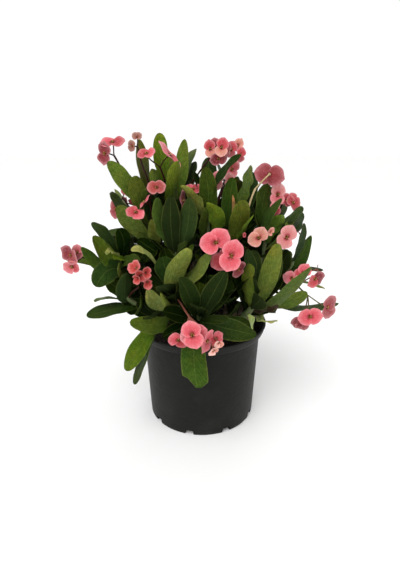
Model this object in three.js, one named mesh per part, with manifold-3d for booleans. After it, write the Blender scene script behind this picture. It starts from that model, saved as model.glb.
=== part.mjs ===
// Crown of thorns plant (Euphorbia milii, large-flowered hybrid) in its 200 mm nursery pot.
// Millimetres, +Z up, origin in the middle of the pot's flat foot. Eight spiny canes stand in holes in the
// soil and branch. Each branch ends in a leafy shoot, and stalked clusters of paired bracts grow from the
// shoots. Leaves, bracts, stalks and spines are closed solids, fused to what they grow from.
import * as THREE from 'three';
import Module from 'manifold-3d';

const wasm = await Module();
wasm.setup();

const { Vector3 } = THREE;
const UP = new Vector3(0, 0, 1);
const GAP = 0.3;
// Corners nearer than this to the face round them are merged away.
const MERGED = 0.09;

// ---- Driving dimensions -------------------------------------------------------------------------

const POT = {
  height: 156, rimRadius: 100, rimHeight: 14, bandRadius: 96, topRadius: 90.8, footRadius: 83.5,
  wall: 2.2, floor: 3, sides: 28, notches: 9, notchWidth: 15, notchHeight: 8, notchDepth: 9,
};
const SOIL = { level: 142, crown: 4, lump: 1.8, holeDepth: 45, holeRadius: 10.5, sides: 16 };
const CANE = { radius: 7.6, forkRadius: 6, sides: 5 };
const STEM = { footRadius: 5.4, tipRadius: 3.4, sides: 4, leafyLength: 96, bud: 6 };
const LEAF = {
  thickness: 1.7, fold: 0.2, bow: 0.07, length: 88, width: 26.5, clearance: 0.9, rootShare: 0.3,
  shownReach: 11,
};
const SPINE = { length: 11, radius: 0.9, spacing: 42, turn: 2.4, sunk: 2.5 };
const STALK = { radius: 1.3, endRadius: 0.9, sides: 3, stepLength: 30, sunk: 0.8 };
const BRACT = {
  reach: 0.4, span: 80, slit: 4, ripple: 0.07, largeRadius: 9, shownReach: 1.4, shownMargin: 10,
};
const CYATHIUM = { radius: 2.8, height: 3.6, seat: 1.2, depth: 2, sides: 3 };

// The crown is a dome. Leaves that are placed by rule keep their tips inside it, and seen from EYE they
// also stay inside its outline and above the pot's rim.
const CROWN = {
  centre: new Vector3(0, 0, 216), radius: new Vector3(166, 170, 192),
  outlineMiddle: 236, outlineRadius: [158, 192],
  footHeight: 118, footHalf: 60, footSlope: 1.15,
};

// Places in the tables are read on the upright plane through the pot's axis, looking from EYE, with the
// real depth y given beside them. `seen` moves such a reading along its sight line to that depth.
const EYE = new Vector3(0, -620, 433);

function seen(x, z, y) {
  const k = (y - EYE.y) / -EYE.y;
  return new Vector3(x * k, y, EYE.z + (z - EYE.z) * k);
}

function reading(point) {
  const k = (point.y - EYE.y) / -EYE.y;
  return { x: point.x / k, z: EYE.z + (point.z - EYE.z) / k, y: point.y };
}

// A repeatable random value from 0 to 1 for the three whole numbers that name what it is for.
function draw(a, b, c) {
  const value = Math.sin(a * 12.9898 + b * 78.233 + c * 37.719) * 43758.5453;
  return value - Math.floor(value);
}

const mix = THREE.MathUtils.lerp;
const rad = THREE.MathUtils.degToRad;

// ---- Solids -------------------------------------------------------------------------------------

function solid(points, triangles) {
  let volume = 0;
  for (const [a, b, c] of triangles) {
    volume += points[a].dot(new Vector3().crossVectors(points[b], points[c]));
  }
  const faces = volume < 0 ? triangles.map(([a, b, c]) => [a, c, b]) : triangles;
  return new wasm.Manifold(new wasm.Mesh({
    numProp: 3,
    vertProperties: new Float32Array(points.flatMap((p) => [p.x, p.y, p.z])),
    triVerts: new Uint32Array(faces.flat()),
  }));
}

// A closed skin over rings of points, which may differ in number. The first and last may be a single
// point, or get a flat end. Quads between equal rings are split towards every second point.
function loft(rings) {
  const points = rings.flat();
  const triangles = [];
  let start = 0;
  for (let i = 0; i < rings.length - 1; i += 1) {
    const n = rings[i].length;
    const m = rings[i + 1].length;
    const next = start + n;
    const [lastJ, lastK] = [n > 1 ? n : 0, m > 1 ? m : 0];
    let [j, k] = [0, 0];
    while (j < lastJ || k < lastK) {
      const [a, c] = [start + (j % n), next + (k % m)];
      const isBehind = n === m ? j < k || (j === k && j % 2 === 1) : (j + 1) / n <= (k + 1) / m;
      if (j < lastJ && (k >= lastK || isBehind)) {
        j += 1;
        triangles.push([a, c, start + (j % n)]);
      } else {
        k += 1;
        triangles.push([a, c, next + (k % m)]);
      }
    }
    start = next;
  }
  const last = rings[rings.length - 1];
  for (let j = 1; j < rings[0].length - 1; j += 1) triangles.push([0, j, j + 1]);
  for (let j = 1; j < last.length - 1; j += 1) triangles.push([start, start + j + 1, start + j]);
  return solid(points, triangles);
}

// The rings of a tube along a curve, from one share of its length to another.
function tubeRings(curve, from, to, radiusFrom, radiusTo, sides, steps, firstSide = null) {
  const rings = [];
  const ahead = curve.getTangentAt(from);
  const level = new Vector3().crossVectors(Math.abs(ahead.z) < 0.9 ? UP : new Vector3(1, 0, 0), ahead);
  let side = firstSide ?? level;
  for (let i = 0; i <= steps; i += 1) {
    const t = mix(from, to, i / steps);
    const tangent = curve.getTangentAt(t);
    side = side.clone().addScaledVector(tangent, -side.dot(tangent)).normalize();
    const other = new Vector3().crossVectors(tangent, side);
    const radius = mix(radiusFrom, radiusTo, i / steps);
    const middle = curve.getPointAt(t);
    rings.push(Array.from({ length: sides }, (_, j) => {
      const turn = (j / sides) * 2 * Math.PI;
      return middle.clone()
        .addScaledVector(side, radius * Math.cos(turn))
        .addScaledVector(other, radius * Math.sin(turn));
    }));
  }
  return rings;
}

const tube = (...shape) => loft(tubeRings(...shape));

function fromGeometry(geometry) {
  const position = geometry.getAttribute('position');
  const index = geometry.getIndex();
  const ids = new Map();
  const points = [];
  const idOf = (i) => {
    const p = new Vector3().fromBufferAttribute(position, i);
    const key = [p.x, p.y, p.z].map((v) => Math.round(v * 1e4)).join();
    if (!ids.has(key)) {
      ids.set(key, points.length);
      points.push(p);
    }
    return ids.get(key);
  };
  const triangles = [];
  for (let i = 0; i < index.count; i += 3) {
    const [a, b, c] = [0, 1, 2].map((k) => idOf(index.getX(i + k)));
    if (a !== b && b !== c && c !== a) triangles.push([a, b, c]);
  }
  return solid(points, triangles);
}

function lathe(outline, sides) {
  const geometry = new THREE.LatheGeometry(outline.map(([r, z]) => new THREE.Vector2(r, z)), sides);
  geometry.rotateX(Math.PI / 2);
  return fromGeometry(geometry);
}

const fuse = (solids) => solids.reduce((whole, piece) => whole.add(piece));

// The largest body alone: a small hollow that fusing has sealed is filled by this.
function oneBody(whole) {
  return whole.decompose().reduce((largest, body) => (body.volume() > largest.volume() ? body : largest));
}

// ---- Node list: every solid goes into a named node, and is checked against those already there -----

const materials = {
  pot: new THREE.MeshStandardMaterial({ color: 0x2d2e2c, roughness: 0.55, metalness: 0 }),
  soil: new THREE.MeshStandardMaterial({ color: 0x1d1712, roughness: 1, metalness: 0 }),
  cane: new THREE.MeshStandardMaterial({ color: 0x6b5a48, roughness: 0.85, metalness: 0 }),
  leaf: new THREE.MeshStandardMaterial({ color: 0x3f6a24, roughness: 0.45, metalness: 0 }),
  bloom: new THREE.MeshStandardMaterial({ color: 0xee6f7f, roughness: 0.6, metalness: 0 }),
};
const nodes = new Map();
const pieces = [];

// What is set by hand stays in view from EYE: its points, as readings.
const shown = [];

function boxOf(body) {
  const { min, max } = body.boundingBox();
  return new THREE.Box3(new Vector3(...min), new Vector3(...max));
}

// `tip` is the piece without its root, for the check against other pieces of the same node.
function place(node, material, body, tip = null) {
  if (!nodes.has(node)) nodes.set(node, { material, solids: [] });
  nodes.get(node).solids.push(body);
  pieces.push({ node, body, tip, box: boxOf(body) });
}

const meets = (a, b) => !a.intersect(b).isEmpty();

function isClear(node, body, tip) {
  const box = boxOf(body);
  return !pieces.some((piece) => piece.box.intersectsBox(box) && (
    piece.node === node ? piece.tip !== null && meets(piece.tip, tip) : meets(piece.body, body)));
}

// ---- Pot and soil ---------------------------------------------------------------------------------

function wallRadius(z) {
  return mix(POT.footRadius, POT.topRadius, z / (POT.height - POT.rimHeight));
}

function makePot() {
  const bandFoot = POT.height - POT.rimHeight;
  const body = lathe([
    [0, 0], [POT.footRadius - 1, 0], [POT.footRadius, 1.5], [POT.topRadius, bandFoot],
    [POT.bandRadius, bandFoot + 0.8], [POT.rimRadius, POT.height - 2], [POT.rimRadius - 0.6, POT.height],
    [POT.rimRadius - 3.4, POT.height], [POT.topRadius - POT.wall, bandFoot],
    [wallRadius(POT.floor) - POT.wall, POT.floor], [0, POT.floor],
  ], POT.sides);
  const notches = Array.from({ length: POT.notches }, (_, i) => {
    const block = new THREE.BoxGeometry(2 * POT.notchDepth, POT.notchWidth, 2 * POT.notchHeight);
    block.translate(POT.footRadius, 0, 0);
    block.rotateZ(((i + 0.42) / POT.notches) * 2 * Math.PI);
    return fromGeometry(block);
  });
  return body.subtract(fuse(notches));
}

function makeSoil(canes) {
  const inner = (z) => wallRadius(z) - POT.wall - GAP - 0.3;
  const floor = POT.floor + GAP;
  const notchTop = POT.notchHeight + 1;
  const outline = [
    [0, floor], [inner(0) - POT.notchDepth, floor], [inner(0) - POT.notchDepth, notchTop],
    [inner(notchTop), notchTop], [inner(SOIL.level), SOIL.level],
    [inner(SOIL.level) * 0.8, SOIL.level + 1], [inner(SOIL.level) * 0.55, SOIL.level + SOIL.crown * 0.6],
    [inner(SOIL.level) * 0.3, SOIL.level + SOIL.crown], [0, SOIL.level + SOIL.crown],
  ];
  const geometry = new THREE.LatheGeometry(outline.map(([r, z]) => new THREE.Vector2(r, z)), SOIL.sides);
  geometry.rotateX(Math.PI / 2);
  const position = geometry.getAttribute('position');
  for (let i = 0; i < position.count; i += 1) {
    const [x, y, z] = [position.getX(i), position.getY(i), position.getZ(i)];
    const isInside = Math.hypot(x, y) < inner(SOIL.level) - 2;
    if (z > SOIL.level && isInside) {
      position.setZ(i, z + SOIL.lump * Math.sin(x * 0.19 + 1) * Math.cos(y * 0.23 - x * 0.05));
    }
  }
  const holes = canes.map(({ base: [x, y] }) => {
    const hole = new THREE.CylinderGeometry(SOIL.holeRadius, SOIL.holeRadius, SOIL.holeDepth * 2, 6);
    hole.rotateX(Math.PI / 2);
    hole.translate(x, y, SOIL.level + GAP);
    return fromGeometry(hole);
  });
  return fromGeometry(geometry).subtract(fuse(holes));
}

// ---- Canes and shoots -----------------------------------------------------------------------------

// base: where the cane leaves the soil. fork: where it branches.
const CANES = {
  left: { base: [-40, -12], fork: [-48, -20, 166] },
  front: { base: [-10, -44], fork: [-14, -50, 160] },
  front_right: { base: [38, -42], fork: [48, -50, 168] },
  right: { base: [52, 0], fork: [68, -6, 180] },
  middle: { base: [12, -6], fork: [16, -8, 196] },
  upper_left: { base: [-32, 22], fork: [-44, 20, 192] },
  back_right: { base: [40, 42], fork: [50, 54, 180] },
  back_left: { base: [-10, 54], fork: [-16, 68, 180] },
};

// at: the shoot's tip, as [reading x, reading z, depth y], or top: its real place. rule: how many leaf
// places the shoot has for leaves set by rule. out: how far the tip leans outward, from 0 to 1.
const SHOOTS = [
  { name: 'a', cane: 'upper_left', at: [-82, 338, -5], rule: 14, out: 0.25 },
  { name: 'b', cane: 'upper_left', at: [-38, 345, 15], rule: 14, out: 0.05 },
  { name: 'c', cane: 'middle', at: [8, 322, -15], rule: 14, out: 0.05 },
  { name: 'd', cane: 'middle', at: [48, 300, -22], rule: 14, out: 0.15 },
  { name: 'e', cane: 'right', at: [98, 298, -15], rule: 14, out: 0.25 },
  { name: 'f', cane: 'right', at: [136, 246, -20], rule: 12, out: 0.5 },
  { name: 'g', cane: 'front_right', at: [84, 184, -82], rule: 12, out: 0.4 },
  { name: 'h', cane: 'front', at: [-4, 162, -95], rule: 12, out: 0.5 },
  { name: 'i', cane: 'front', at: [-45, 208, -72], rule: 12, out: 0.3 },
  { name: 'j', cane: 'front', at: [-42, 282, -42], rule: 12, out: 0.1 },
  { name: 'k', cane: 'left', at: [-128, 250, -25], rule: 12, out: 0.5 },
  { name: 'l', cane: 'left', at: [-116, 192, -52], rule: 12, out: 0.6 },
  { name: 'm', cane: 'left', at: [-72, 158, -76], rule: 12, out: 0.5 },
  { name: 'n', cane: 'front_right', at: [128, 188, -38], rule: 12, out: 0.6 },
  { name: 'o', cane: 'front_right', at: [36, 215, -66], rule: 12, out: 0.2 },
  { name: 'p', cane: 'upper_left', top: [-84, 52, 306], rule: 12, out: 0.3 },
  { name: 'q', cane: 'upper_left', top: [-114, 40, 234], rule: 12, out: 0.6 },
  { name: 'r', cane: 'back_right', top: [50, 48, 322], rule: 12, out: 0.1 },
  { name: 's', cane: 'back_right', top: [112, 44, 262], rule: 12, out: 0.5 },
  { name: 't', cane: 'back_right', top: [66, 104, 256], rule: 12, out: 0.5 },
  { name: 'u', cane: 'back_right', top: [92, 76, 206], rule: 12, out: 0.8 },
  { name: 'v', cane: 'back_left', top: [-22, 58, 330], rule: 12, out: 0.1 },
  { name: 'w', cane: 'back_left', top: [8, 106, 286], rule: 12, out: 0.4 },
  { name: 'x', cane: 'back_left', top: [-56, 104, 256], rule: 12, out: 0.5 },
  { name: 'y', cane: 'back_left', top: [4, 120, 212], rule: 12, out: 0.8 },
  { name: 'z', cane: 'back_left', top: [-84, 82, 204], rule: 12, out: 0.8 },
];

for (const [name, cane] of Object.entries(CANES)) {
  const [x, y] = cane.base;
  cane.name = name;
  cane.start = new Vector3(...cane.fork);
  cane.trunk = new THREE.CatmullRomCurve3([
    new Vector3(x, y, SOIL.level - SOIL.holeDepth + 2 * GAP), new Vector3(x, y, SOIL.level + 3), cane.start]);
}

SHOOTS.forEach((shoot, index) => {
  const cane = CANES[shoot.cane];
  const top = shoot.at ? seen(...shoot.at) : new Vector3(...shoot.top);
  const outward = new Vector3(top.x, top.y, 0).normalize();
  const lean = outward.clone().multiplyScalar(shoot.out).addScaledVector(UP, 1 - shoot.out * 0.5).normalize();
  const reach = top.distanceTo(cane.start);
  const rise = new Vector3(cane.start.x - cane.base[0], cane.start.y - cane.base[1], 30).normalize()
    .addScaledVector(top.clone().sub(cane.start).normalize(), 1.4).normalize();
  shoot.index = index;
  shoot.curve = new THREE.CubicBezierCurve3(
    cane.start,
    cane.start.clone().addScaledVector(rise, reach * 0.35),
    top.clone().addScaledVector(lean, -reach * 0.35),
    top,
  );
  shoot.length = shoot.curve.getLength();
  shoot.foot = Math.max(0.42, 1 - STEM.leafyLength / shoot.length);
  shoot.node = `shoot_${shoot.name}`;
});

const shootNamed = Object.fromEntries(SHOOTS.map((shoot) => [shoot.name, shoot]));

function stemRadius(shoot, t) {
  return mix(STEM.footRadius, STEM.tipRadius, (t - shoot.foot) / (1 - shoot.foot));
}

// The shoot's green stem and its bud, or with `extra` the sleeve of room round them.
function stemSolid(shoot, extra = 0) {
  const [wide, narrow] = [STEM.footRadius + extra, STEM.tipRadius + extra];
  const bud = shoot.curve.getPointAt(1).addScaledVector(shoot.curve.getTangentAt(1), STEM.bud + extra);
  return loft([...tubeRings(shoot.curve, shoot.foot, 1, wide, narrow, STEM.sides, 2), [bud]]);
}

function makeStems() {
  for (const cane of Object.values(CANES)) {
    const trunk = tube(cane.trunk, 0, 1, CANE.radius, CANE.forkRadius, CANE.sides, 2);
    place(`cane_${cane.name}`, 'cane', trunk);
  }
  for (const shoot of SHOOTS) {
    const branchEnd = shoot.foot - GAP / shoot.length;
    place(`cane_${shoot.cane}`, 'cane', tube(
      shoot.curve, 0, branchEnd, CANE.forkRadius - 0.5, STEM.footRadius, STEM.sides, 2));
    place(shoot.node, 'leaf', stemSolid(shoot));
  }
}

// ---- Blooms ---------------------------------------------------------------------------------------

// Clusters: the shoot and share up it that the stalk grows from, the place where it forks (none for one
// flower), and its flowers: [x, z, depth, azimuth, elevation, angle of one bract, angle of the other,
// bract radius, cup]. Azimuth 0 faces EYE, 90 faces +X. Bract angles turn in the flower's own face, from
// its right. Cup is how far the bracts fold forward. All angles are degrees.
const CLUSTERS = [
  { name: 'top_left', shoot: 'a', share: 0.95, fork: [-121, 402, -26], flowers: [
    [-133, 405, -34, -28, 2, 84, 262, 10.5, 10], [-122, 419, -30, -10, 60, 2, 180, 12, 3]] },
  { name: 'left_upper', shoot: 'a', share: 0.3, fork: [-113, 344, 4], flowers: [
    [-123, 328, -4, -30, 4, 95, 265, 9.5, 10], [-106, 361, 0, -20, 15, 110, 290, 10, 5]] },
  { name: 'top_peach', shoot: 'a', share: 0.9, fork: [-88, 413, -8], flowers: [
    [-88, 426, -8, 0, 15, 30, 150, 5.5, 20], [-95, 415, -12, -10, 0, 100, 250, 5.5, 14]] },
  { name: 'top_slant', shoot: 'b', share: 0.9, fork: [-58, 386, -14], flowers: [
    [-45, 403, -20, 78, 42, 90, 270, 15, 3], [-76, 404, -28, -25, 50, 5, 186, 9.5, 8]] },
  { name: 'left_pair', shoot: 'a', share: 0.6, fork: [-74, 344, -34], flowers: [
    [-64, 359, -42, 0, 8, 184, 10, 10, 10], [-81, 338, -44, -78, 42, 90, 270, 8.5, 4],
    [-95, 323, -48, -6, 46, 172, 322, 9.5, 6]] },
  { name: 'middle_left', shoot: 'b', share: 0.6, fork: [-22, 340, -10], flowers: [
    [-12, 356, -22, 0, 45, 4, 178, 8.5, 6], [-28, 341, -26, 68, 5, 88, 268, 9.5, 6]] },
  { name: 'top_middle', shoot: 'b', share: 0.92, fork: [9, 396, 8], flowers: [
    [12, 411, -2, -14, 6, 100, 285, 8.5, 12], [27, 413, -9, 8, 10, 70, 260, 9, 10],
    [40, 410, 4, 28, 14, 60, 240, 8.5, 8], [23, 398, -4, 4, -6, 190, 10, 8.5, 10]] },
  { name: 'top_right', shoot: 'c', share: 0.92, fork: [43, 399, 10], flowers: [
    [49, 415, 14, 12, 14, 60, 215, 7.5, 22], [53, 403, 8, 20, 6, 70, 250, 7.5, 8]] },
  { name: 'middle_upper', shoot: 'c', share: 0.88, fork: [33, 362, -16], flowers: [
    [42, 384, -16, 6, 10, 70, 250, 9.5, 12], [39, 369, -22, 0, 10, 95, 275, 7, 10],
    [23, 368, -20, -20, 12, 90, 260, 9, 8]] },
  { name: 'right_back_view', shoot: 'd', share: 0.93, fork: [76, 357, -38], flowers: [
    [95, 377, -42, 168, -4, 6, 196, 14, 10]] },
  { name: 'right_upper', shoot: 'e', share: 0.75, fork: [116, 336, -16], flowers: [
    [108, 349, -28, 8, 8, 84, 262, 10.5, 6], [130, 338, -16, 30, 6, 120, 330, 10, 6]] },
  { name: 'right_pink', shoot: 'e', share: 0.35, flowers: [[125, 287, -48, 8, 8, 66, 236, 12, 5]] },
  { name: 'right_peach', shoot: 'd', share: 0.25, fork: [80, 277, -52], flowers: [
    [84, 286, -66, -4, 10, 202, 66, 10.5, 8], [100, 295, -58, 28, 12, 60, 220, 5, 30]] },
  { name: 'front_pair', shoot: 'o', share: 0.9, fork: [32, 246, -84], flowers: [
    [21, 279, -102, -6, 8, 190, 48, 14, 5], [44, 259, -110, 5, 8, 72, 254, 14, 5],
    [33, 254, -94, -10, -6, 215, 35, 13, 6], [55, 238, -96, 30, -20, 84, 262, 9, 8]] },
  { name: 'far_left', shoot: 'k', share: 0.7, fork: [-178, 256, -28], flowers: [
    [-195, 260, -40, -28, 8, 150, 330, 11.5, 14], [-195, 242, -42, -20, -10, 200, 20, 10, 12]] },
  { name: 'left_coral', shoot: 'l', share: 0.9, fork: [-91, 214, -76], flowers: [
    [-97, 239, -88, -34, 24, 60, 200, 9, 34], [-85, 232, -92, 20, 14, 84, 264, 8.5, 50],
    [-83, 219, -98, 12, -12, 90, 270, 8.5, 50], [-96, 225, -96, -16, -8, 90, 270, 7.5, 50]] },
  { name: 'front_low', shoot: 'i', share: 0.62, fork: [-20, 160, -128], flowers: [
    [-15, 128, -153, -4, 10, 104, 288, 12.5, 4], [7, 117, -143, 54, -8, 78, 250, 11.5, 8],
    [-37, 117, -136, -20, 64, 172, 352, 10, 3], [27, 114, -144, 20, -6, 200, 300, 5.5, 20],
    [19, 100, -150, 10, -20, 220, 60, 5.5, 20]] },
  { name: 'right_cluster', shoot: 'f', share: 0.8, fork: [146, 214, -44], flowers: [
    [138, 223, -62, -6, 8, 160, 310, 9.5, 8], [153, 231, -60, 4, 14, 60, 210, 10, 5],
    [172, 223, -50, 24, -4, 216, 10, 10.5, 10]] },
  { name: 'right_low', shoot: 'f', share: 0.55, fork: [163, 196, -44], flowers: [
    [170, 160, -64, 4, 8, 186, 2, 12.5, 5], [157, 152, -56, -18, -14, 200, 290, 10.5, 10],
    [195, 176, -52, 30, 4, 52, 286, 13, 6]] },
];

// Clusters out of sight from EYE follow one rule: two flowers round the shoot's outward direction.
const RULE_CLUSTERS = ['p', 's', 't', 'w', 'x'];

function ruleCluster(name) {
  const shoot = shootNamed[name];
  const top = shoot.curve.getPointAt(1);
  const outward = new Vector3(top.x, top.y, 55).normalize();
  const turn = THREE.MathUtils.radToDeg(Math.atan2(outward.x, -outward.y));
  const place3 = (distance, aside, lift) => {
    const p = top.clone().addScaledVector(outward, distance).addScaledVector(UP, lift);
    p.add(new Vector3(-outward.y, outward.x, 0).multiplyScalar(aside));
    const at = reading(p);
    return [at.x, at.z, at.y];
  };
  return {
    name: `back_${name}`, shoot: name, share: 0.96, fork: place3(22, 0, 4), flowers: [
      [...place3(40, -13, 8), turn - 24, 30, 70 + 40 * draw(shoot.index, 0, 7), 256, 11, 5],
      [...place3(42, 13, 2), turn + 20, 16, 150 + 40 * draw(shoot.index, 1, 7), 350, 11, 5],
    ],
  };
}

function flowerFrame([x, z, y, azimuth, elevation]) {
  const [az, el] = [rad(azimuth), rad(elevation)];
  const facing = new Vector3(Math.sin(az) * Math.cos(el), -Math.cos(az) * Math.cos(el), Math.sin(el));
  const right = new Vector3(Math.cos(az), Math.sin(az), 0);
  return { centre: seen(x, z, y), facing, right, up: new Vector3().crossVectors(facing, right) };
}

// The outline of a bract pair, as angle and distance from the flower's middle. Each bract is a circle that
// holds the middle, and stops half way to the other bract.
function bractOutline([angleA, angleB], radius) {
  const count = radius > BRACT.largeRadius ? 5 : 4;
  const around = (((angleB - angleA) % 360) + 360) % 360;
  const lobes = [[angleA, 360 - around, around], [angleB, around, 360 - around]];
  const points = lobes.flatMap(([angle, before, after]) => Array.from({ length: count }, (_, j) => {
    const [first, last] = [before, after].map((free) => Math.min(BRACT.span, free / 2 - BRACT.slit));
    const aside = mix(-first, last, j / (count - 1));
    const [c, v] = [Math.cos(rad(aside)), Math.sin(rad(aside))];
    const distance = radius * (BRACT.reach * c + Math.sqrt(1 - (BRACT.reach * v) ** 2));
    return { angle: (angle + aside + 720) % 360, distance, ripple: Math.sin(rad(3 * aside + angle)) };
  }));
  return points.sort((p, q) => p.angle - q.angle);
}

// One closed skin from the cyathium's tip over the bracts and down the stalk to `foot`.
function flowerSolid(row, foot, leaving, footRadius) {
  const [angleA, angleB, radius, cup] = row.slice(5);
  const { centre, facing, right, up } = flowerFrame(row);
  const size = Math.min(1, radius / 9);
  const at = (angle, distance, height) => centre.clone()
    .addScaledVector(right, distance * Math.cos(rad(angle)))
    .addScaledVector(up, distance * Math.sin(rad(angle)))
    .addScaledVector(facing, height);
  const knob = Array.from({ length: CYATHIUM.sides }, (_, j) => (
    at((j / CYATHIUM.sides) * 360, CYATHIUM.radius * size, CYATHIUM.seat)));
  const rim = bractOutline([angleA, angleB], radius).map(({ angle, distance, ripple }) => {
    const height = distance * Math.sin(rad(cup)) + radius * BRACT.ripple * ripple;
    return at(angle, distance * Math.cos(rad(cup)), height);
  });
  const back = at(0, 0, -CYATHIUM.depth);
  const line = stalkLine(back, facing.clone().negate(), foot, leaving.clone().negate());
  const steps = back.distanceTo(foot) > STALK.stepLength ? 2 : 1;
  const leftwards = right.clone().negate();
  const stalk = tubeRings(line, 0, 1, STALK.endRadius, footRadius, STALK.sides, steps, leftwards);
  const rings = stalk.map((ring) => [ring[0], ...ring.slice(1).reverse()]);
  const isLarge = radius > BRACT.largeRadius;
  const middle = isLarge ? [[at(0, 0, CYATHIUM.height)], knob] : [[at(0, 0, CYATHIUM.seat)]];
  return loft([...middle, rim, ...rings]);
}

function stalkLine(from, leaving, to, arriving) {
  const reach = from.distanceTo(to) * 0.4;
  return new THREE.CubicBezierCurve3(
    from, from.clone().addScaledVector(leaving, reach), to.clone().addScaledVector(arriving, -reach), to);
}

function makeBlooms() {
  for (const cluster of [...CLUSTERS, ...RULE_CLUSTERS.map(ruleCluster)]) {
    const shoot = shootNamed[cluster.shoot];
    const node = `bloom_${cluster.name}`;
    const t = mix(shoot.foot + 0.03, 0.99, cluster.share);
    const root = shoot.curve.getPointAt(t);
    const axis = shoot.curve.getTangentAt(t);
    const first = flowerFrame(cluster.flowers[0]);
    const fork = cluster.fork ? seen(...cluster.fork) : null;
    const target = fork ?? first.centre;
    const heading = target.clone().sub(root).normalize();
    const away = heading.clone().addScaledVector(axis, -heading.dot(axis)).normalize();
    const leaving = away.add(axis).normalize();
    const sleeve = stemSolid(shoot, GAP);
    if (fork) {
      const line = stalkLine(root, leaving, fork, heading);
      const stalk = tube(line, 0, 1, STALK.radius, STALK.radius, STALK.sides, 2);
      place(node, 'bloom', stalk.subtract(sleeve));
    }
    for (const row of cluster.flowers) {
      const { centre } = flowerFrame(row);
      if (fork) {
        const aside = centre.clone().sub(fork).normalize().addScaledVector(heading, 0.4).normalize();
        const foot = fork.clone().addScaledVector(aside, -STALK.sunk);
        place(node, 'bloom', flowerSolid(row, foot, aside, STALK.endRadius));
      } else {
        place(node, 'bloom', flowerSolid(row, root, leaving, STALK.radius).subtract(sleeve));
      }
      shown.push({ ...reading(centre), reach: BRACT.shownReach * row[7] + BRACT.shownMargin });
    }
  }
}

// ---- Leaves ---------------------------------------------------------------------------------------

// Spoon-shaped outline: half the width at share s of the length, as a share of the widest.
function leafOutline(s) {
  return Math.sin(Math.PI * s ** 1.9) ** 0.46;
}

const BROADEST = 0.7;

// leaf: { line (curve from root to tip), normal (upper face), width, wave (ripple of the edge), phase }
// A waved leaf has four points round each section, split alike on both faces. A plain one has three: two
// edges and the rib under it.
function leafSection(leaf, s, grow) {
  const tangent = leaf.line.getTangent(s);
  const broadest = leaf.line.getTangent(BROADEST);
  const side = new Vector3().crossVectors(broadest, leaf.normal).normalize();
  side.applyQuaternion(new THREE.Quaternion().setFromUnitVectors(broadest, tangent));
  const normal = new Vector3().crossVectors(side, tangent);
  const middle = leaf.line.getPoint(s);
  const half = (leaf.width / 2) * leafOutline(s) + grow;
  const isWaved = leaf.wave > 0;
  const lift = (sign) => (isWaved ? half * LEAF.fold + leaf.wave * Math.sin(s * 17 + leaf.phase + sign) : 0);
  const edge = (sign) => (
    middle.clone().addScaledVector(side, sign * half).addScaledVector(normal, lift(sign)));
  if (!isWaved && grow === 0) {
    return [edge(1), middle.clone().addScaledVector(normal, -LEAF.thickness), edge(-1)];
  }
  const thick = isWaved ? LEAF.thickness / 2 + grow : LEAF.thickness + grow;
  return [
    middle.clone().addScaledVector(normal, thick), edge(1),
    middle.clone().addScaledVector(normal, -thick), edge(-1),
  ];
}

const STATIONS = { plain: [0.24, 0.58, 0.9], waved: [0.22, 0.46, 0.7, 0.92], short: [0.36, 0.84] };

function leafSolid(leaf, grow = 0, from = 0) {
  const stations = STATIONS[leaf.kind].filter((s) => s > from);
  const root = from > 0 ? [] : [[leaf.line.getPoint(0)]];
  const tip = leaf.line.getPoint(1).addScaledVector(leaf.line.getTangent(1), grow);
  return loft([...root, ...stations.map((s) => leafSection(leaf, s, grow)), [tip]]);
}

function leafLine(root, middle, tip, normal) {
  const bow = normal.clone().multiplyScalar(LEAF.bow * root.distanceTo(tip));
  return new THREE.QuadraticBezierCurve3(root, middle.clone().add(bow), tip);
}

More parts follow.
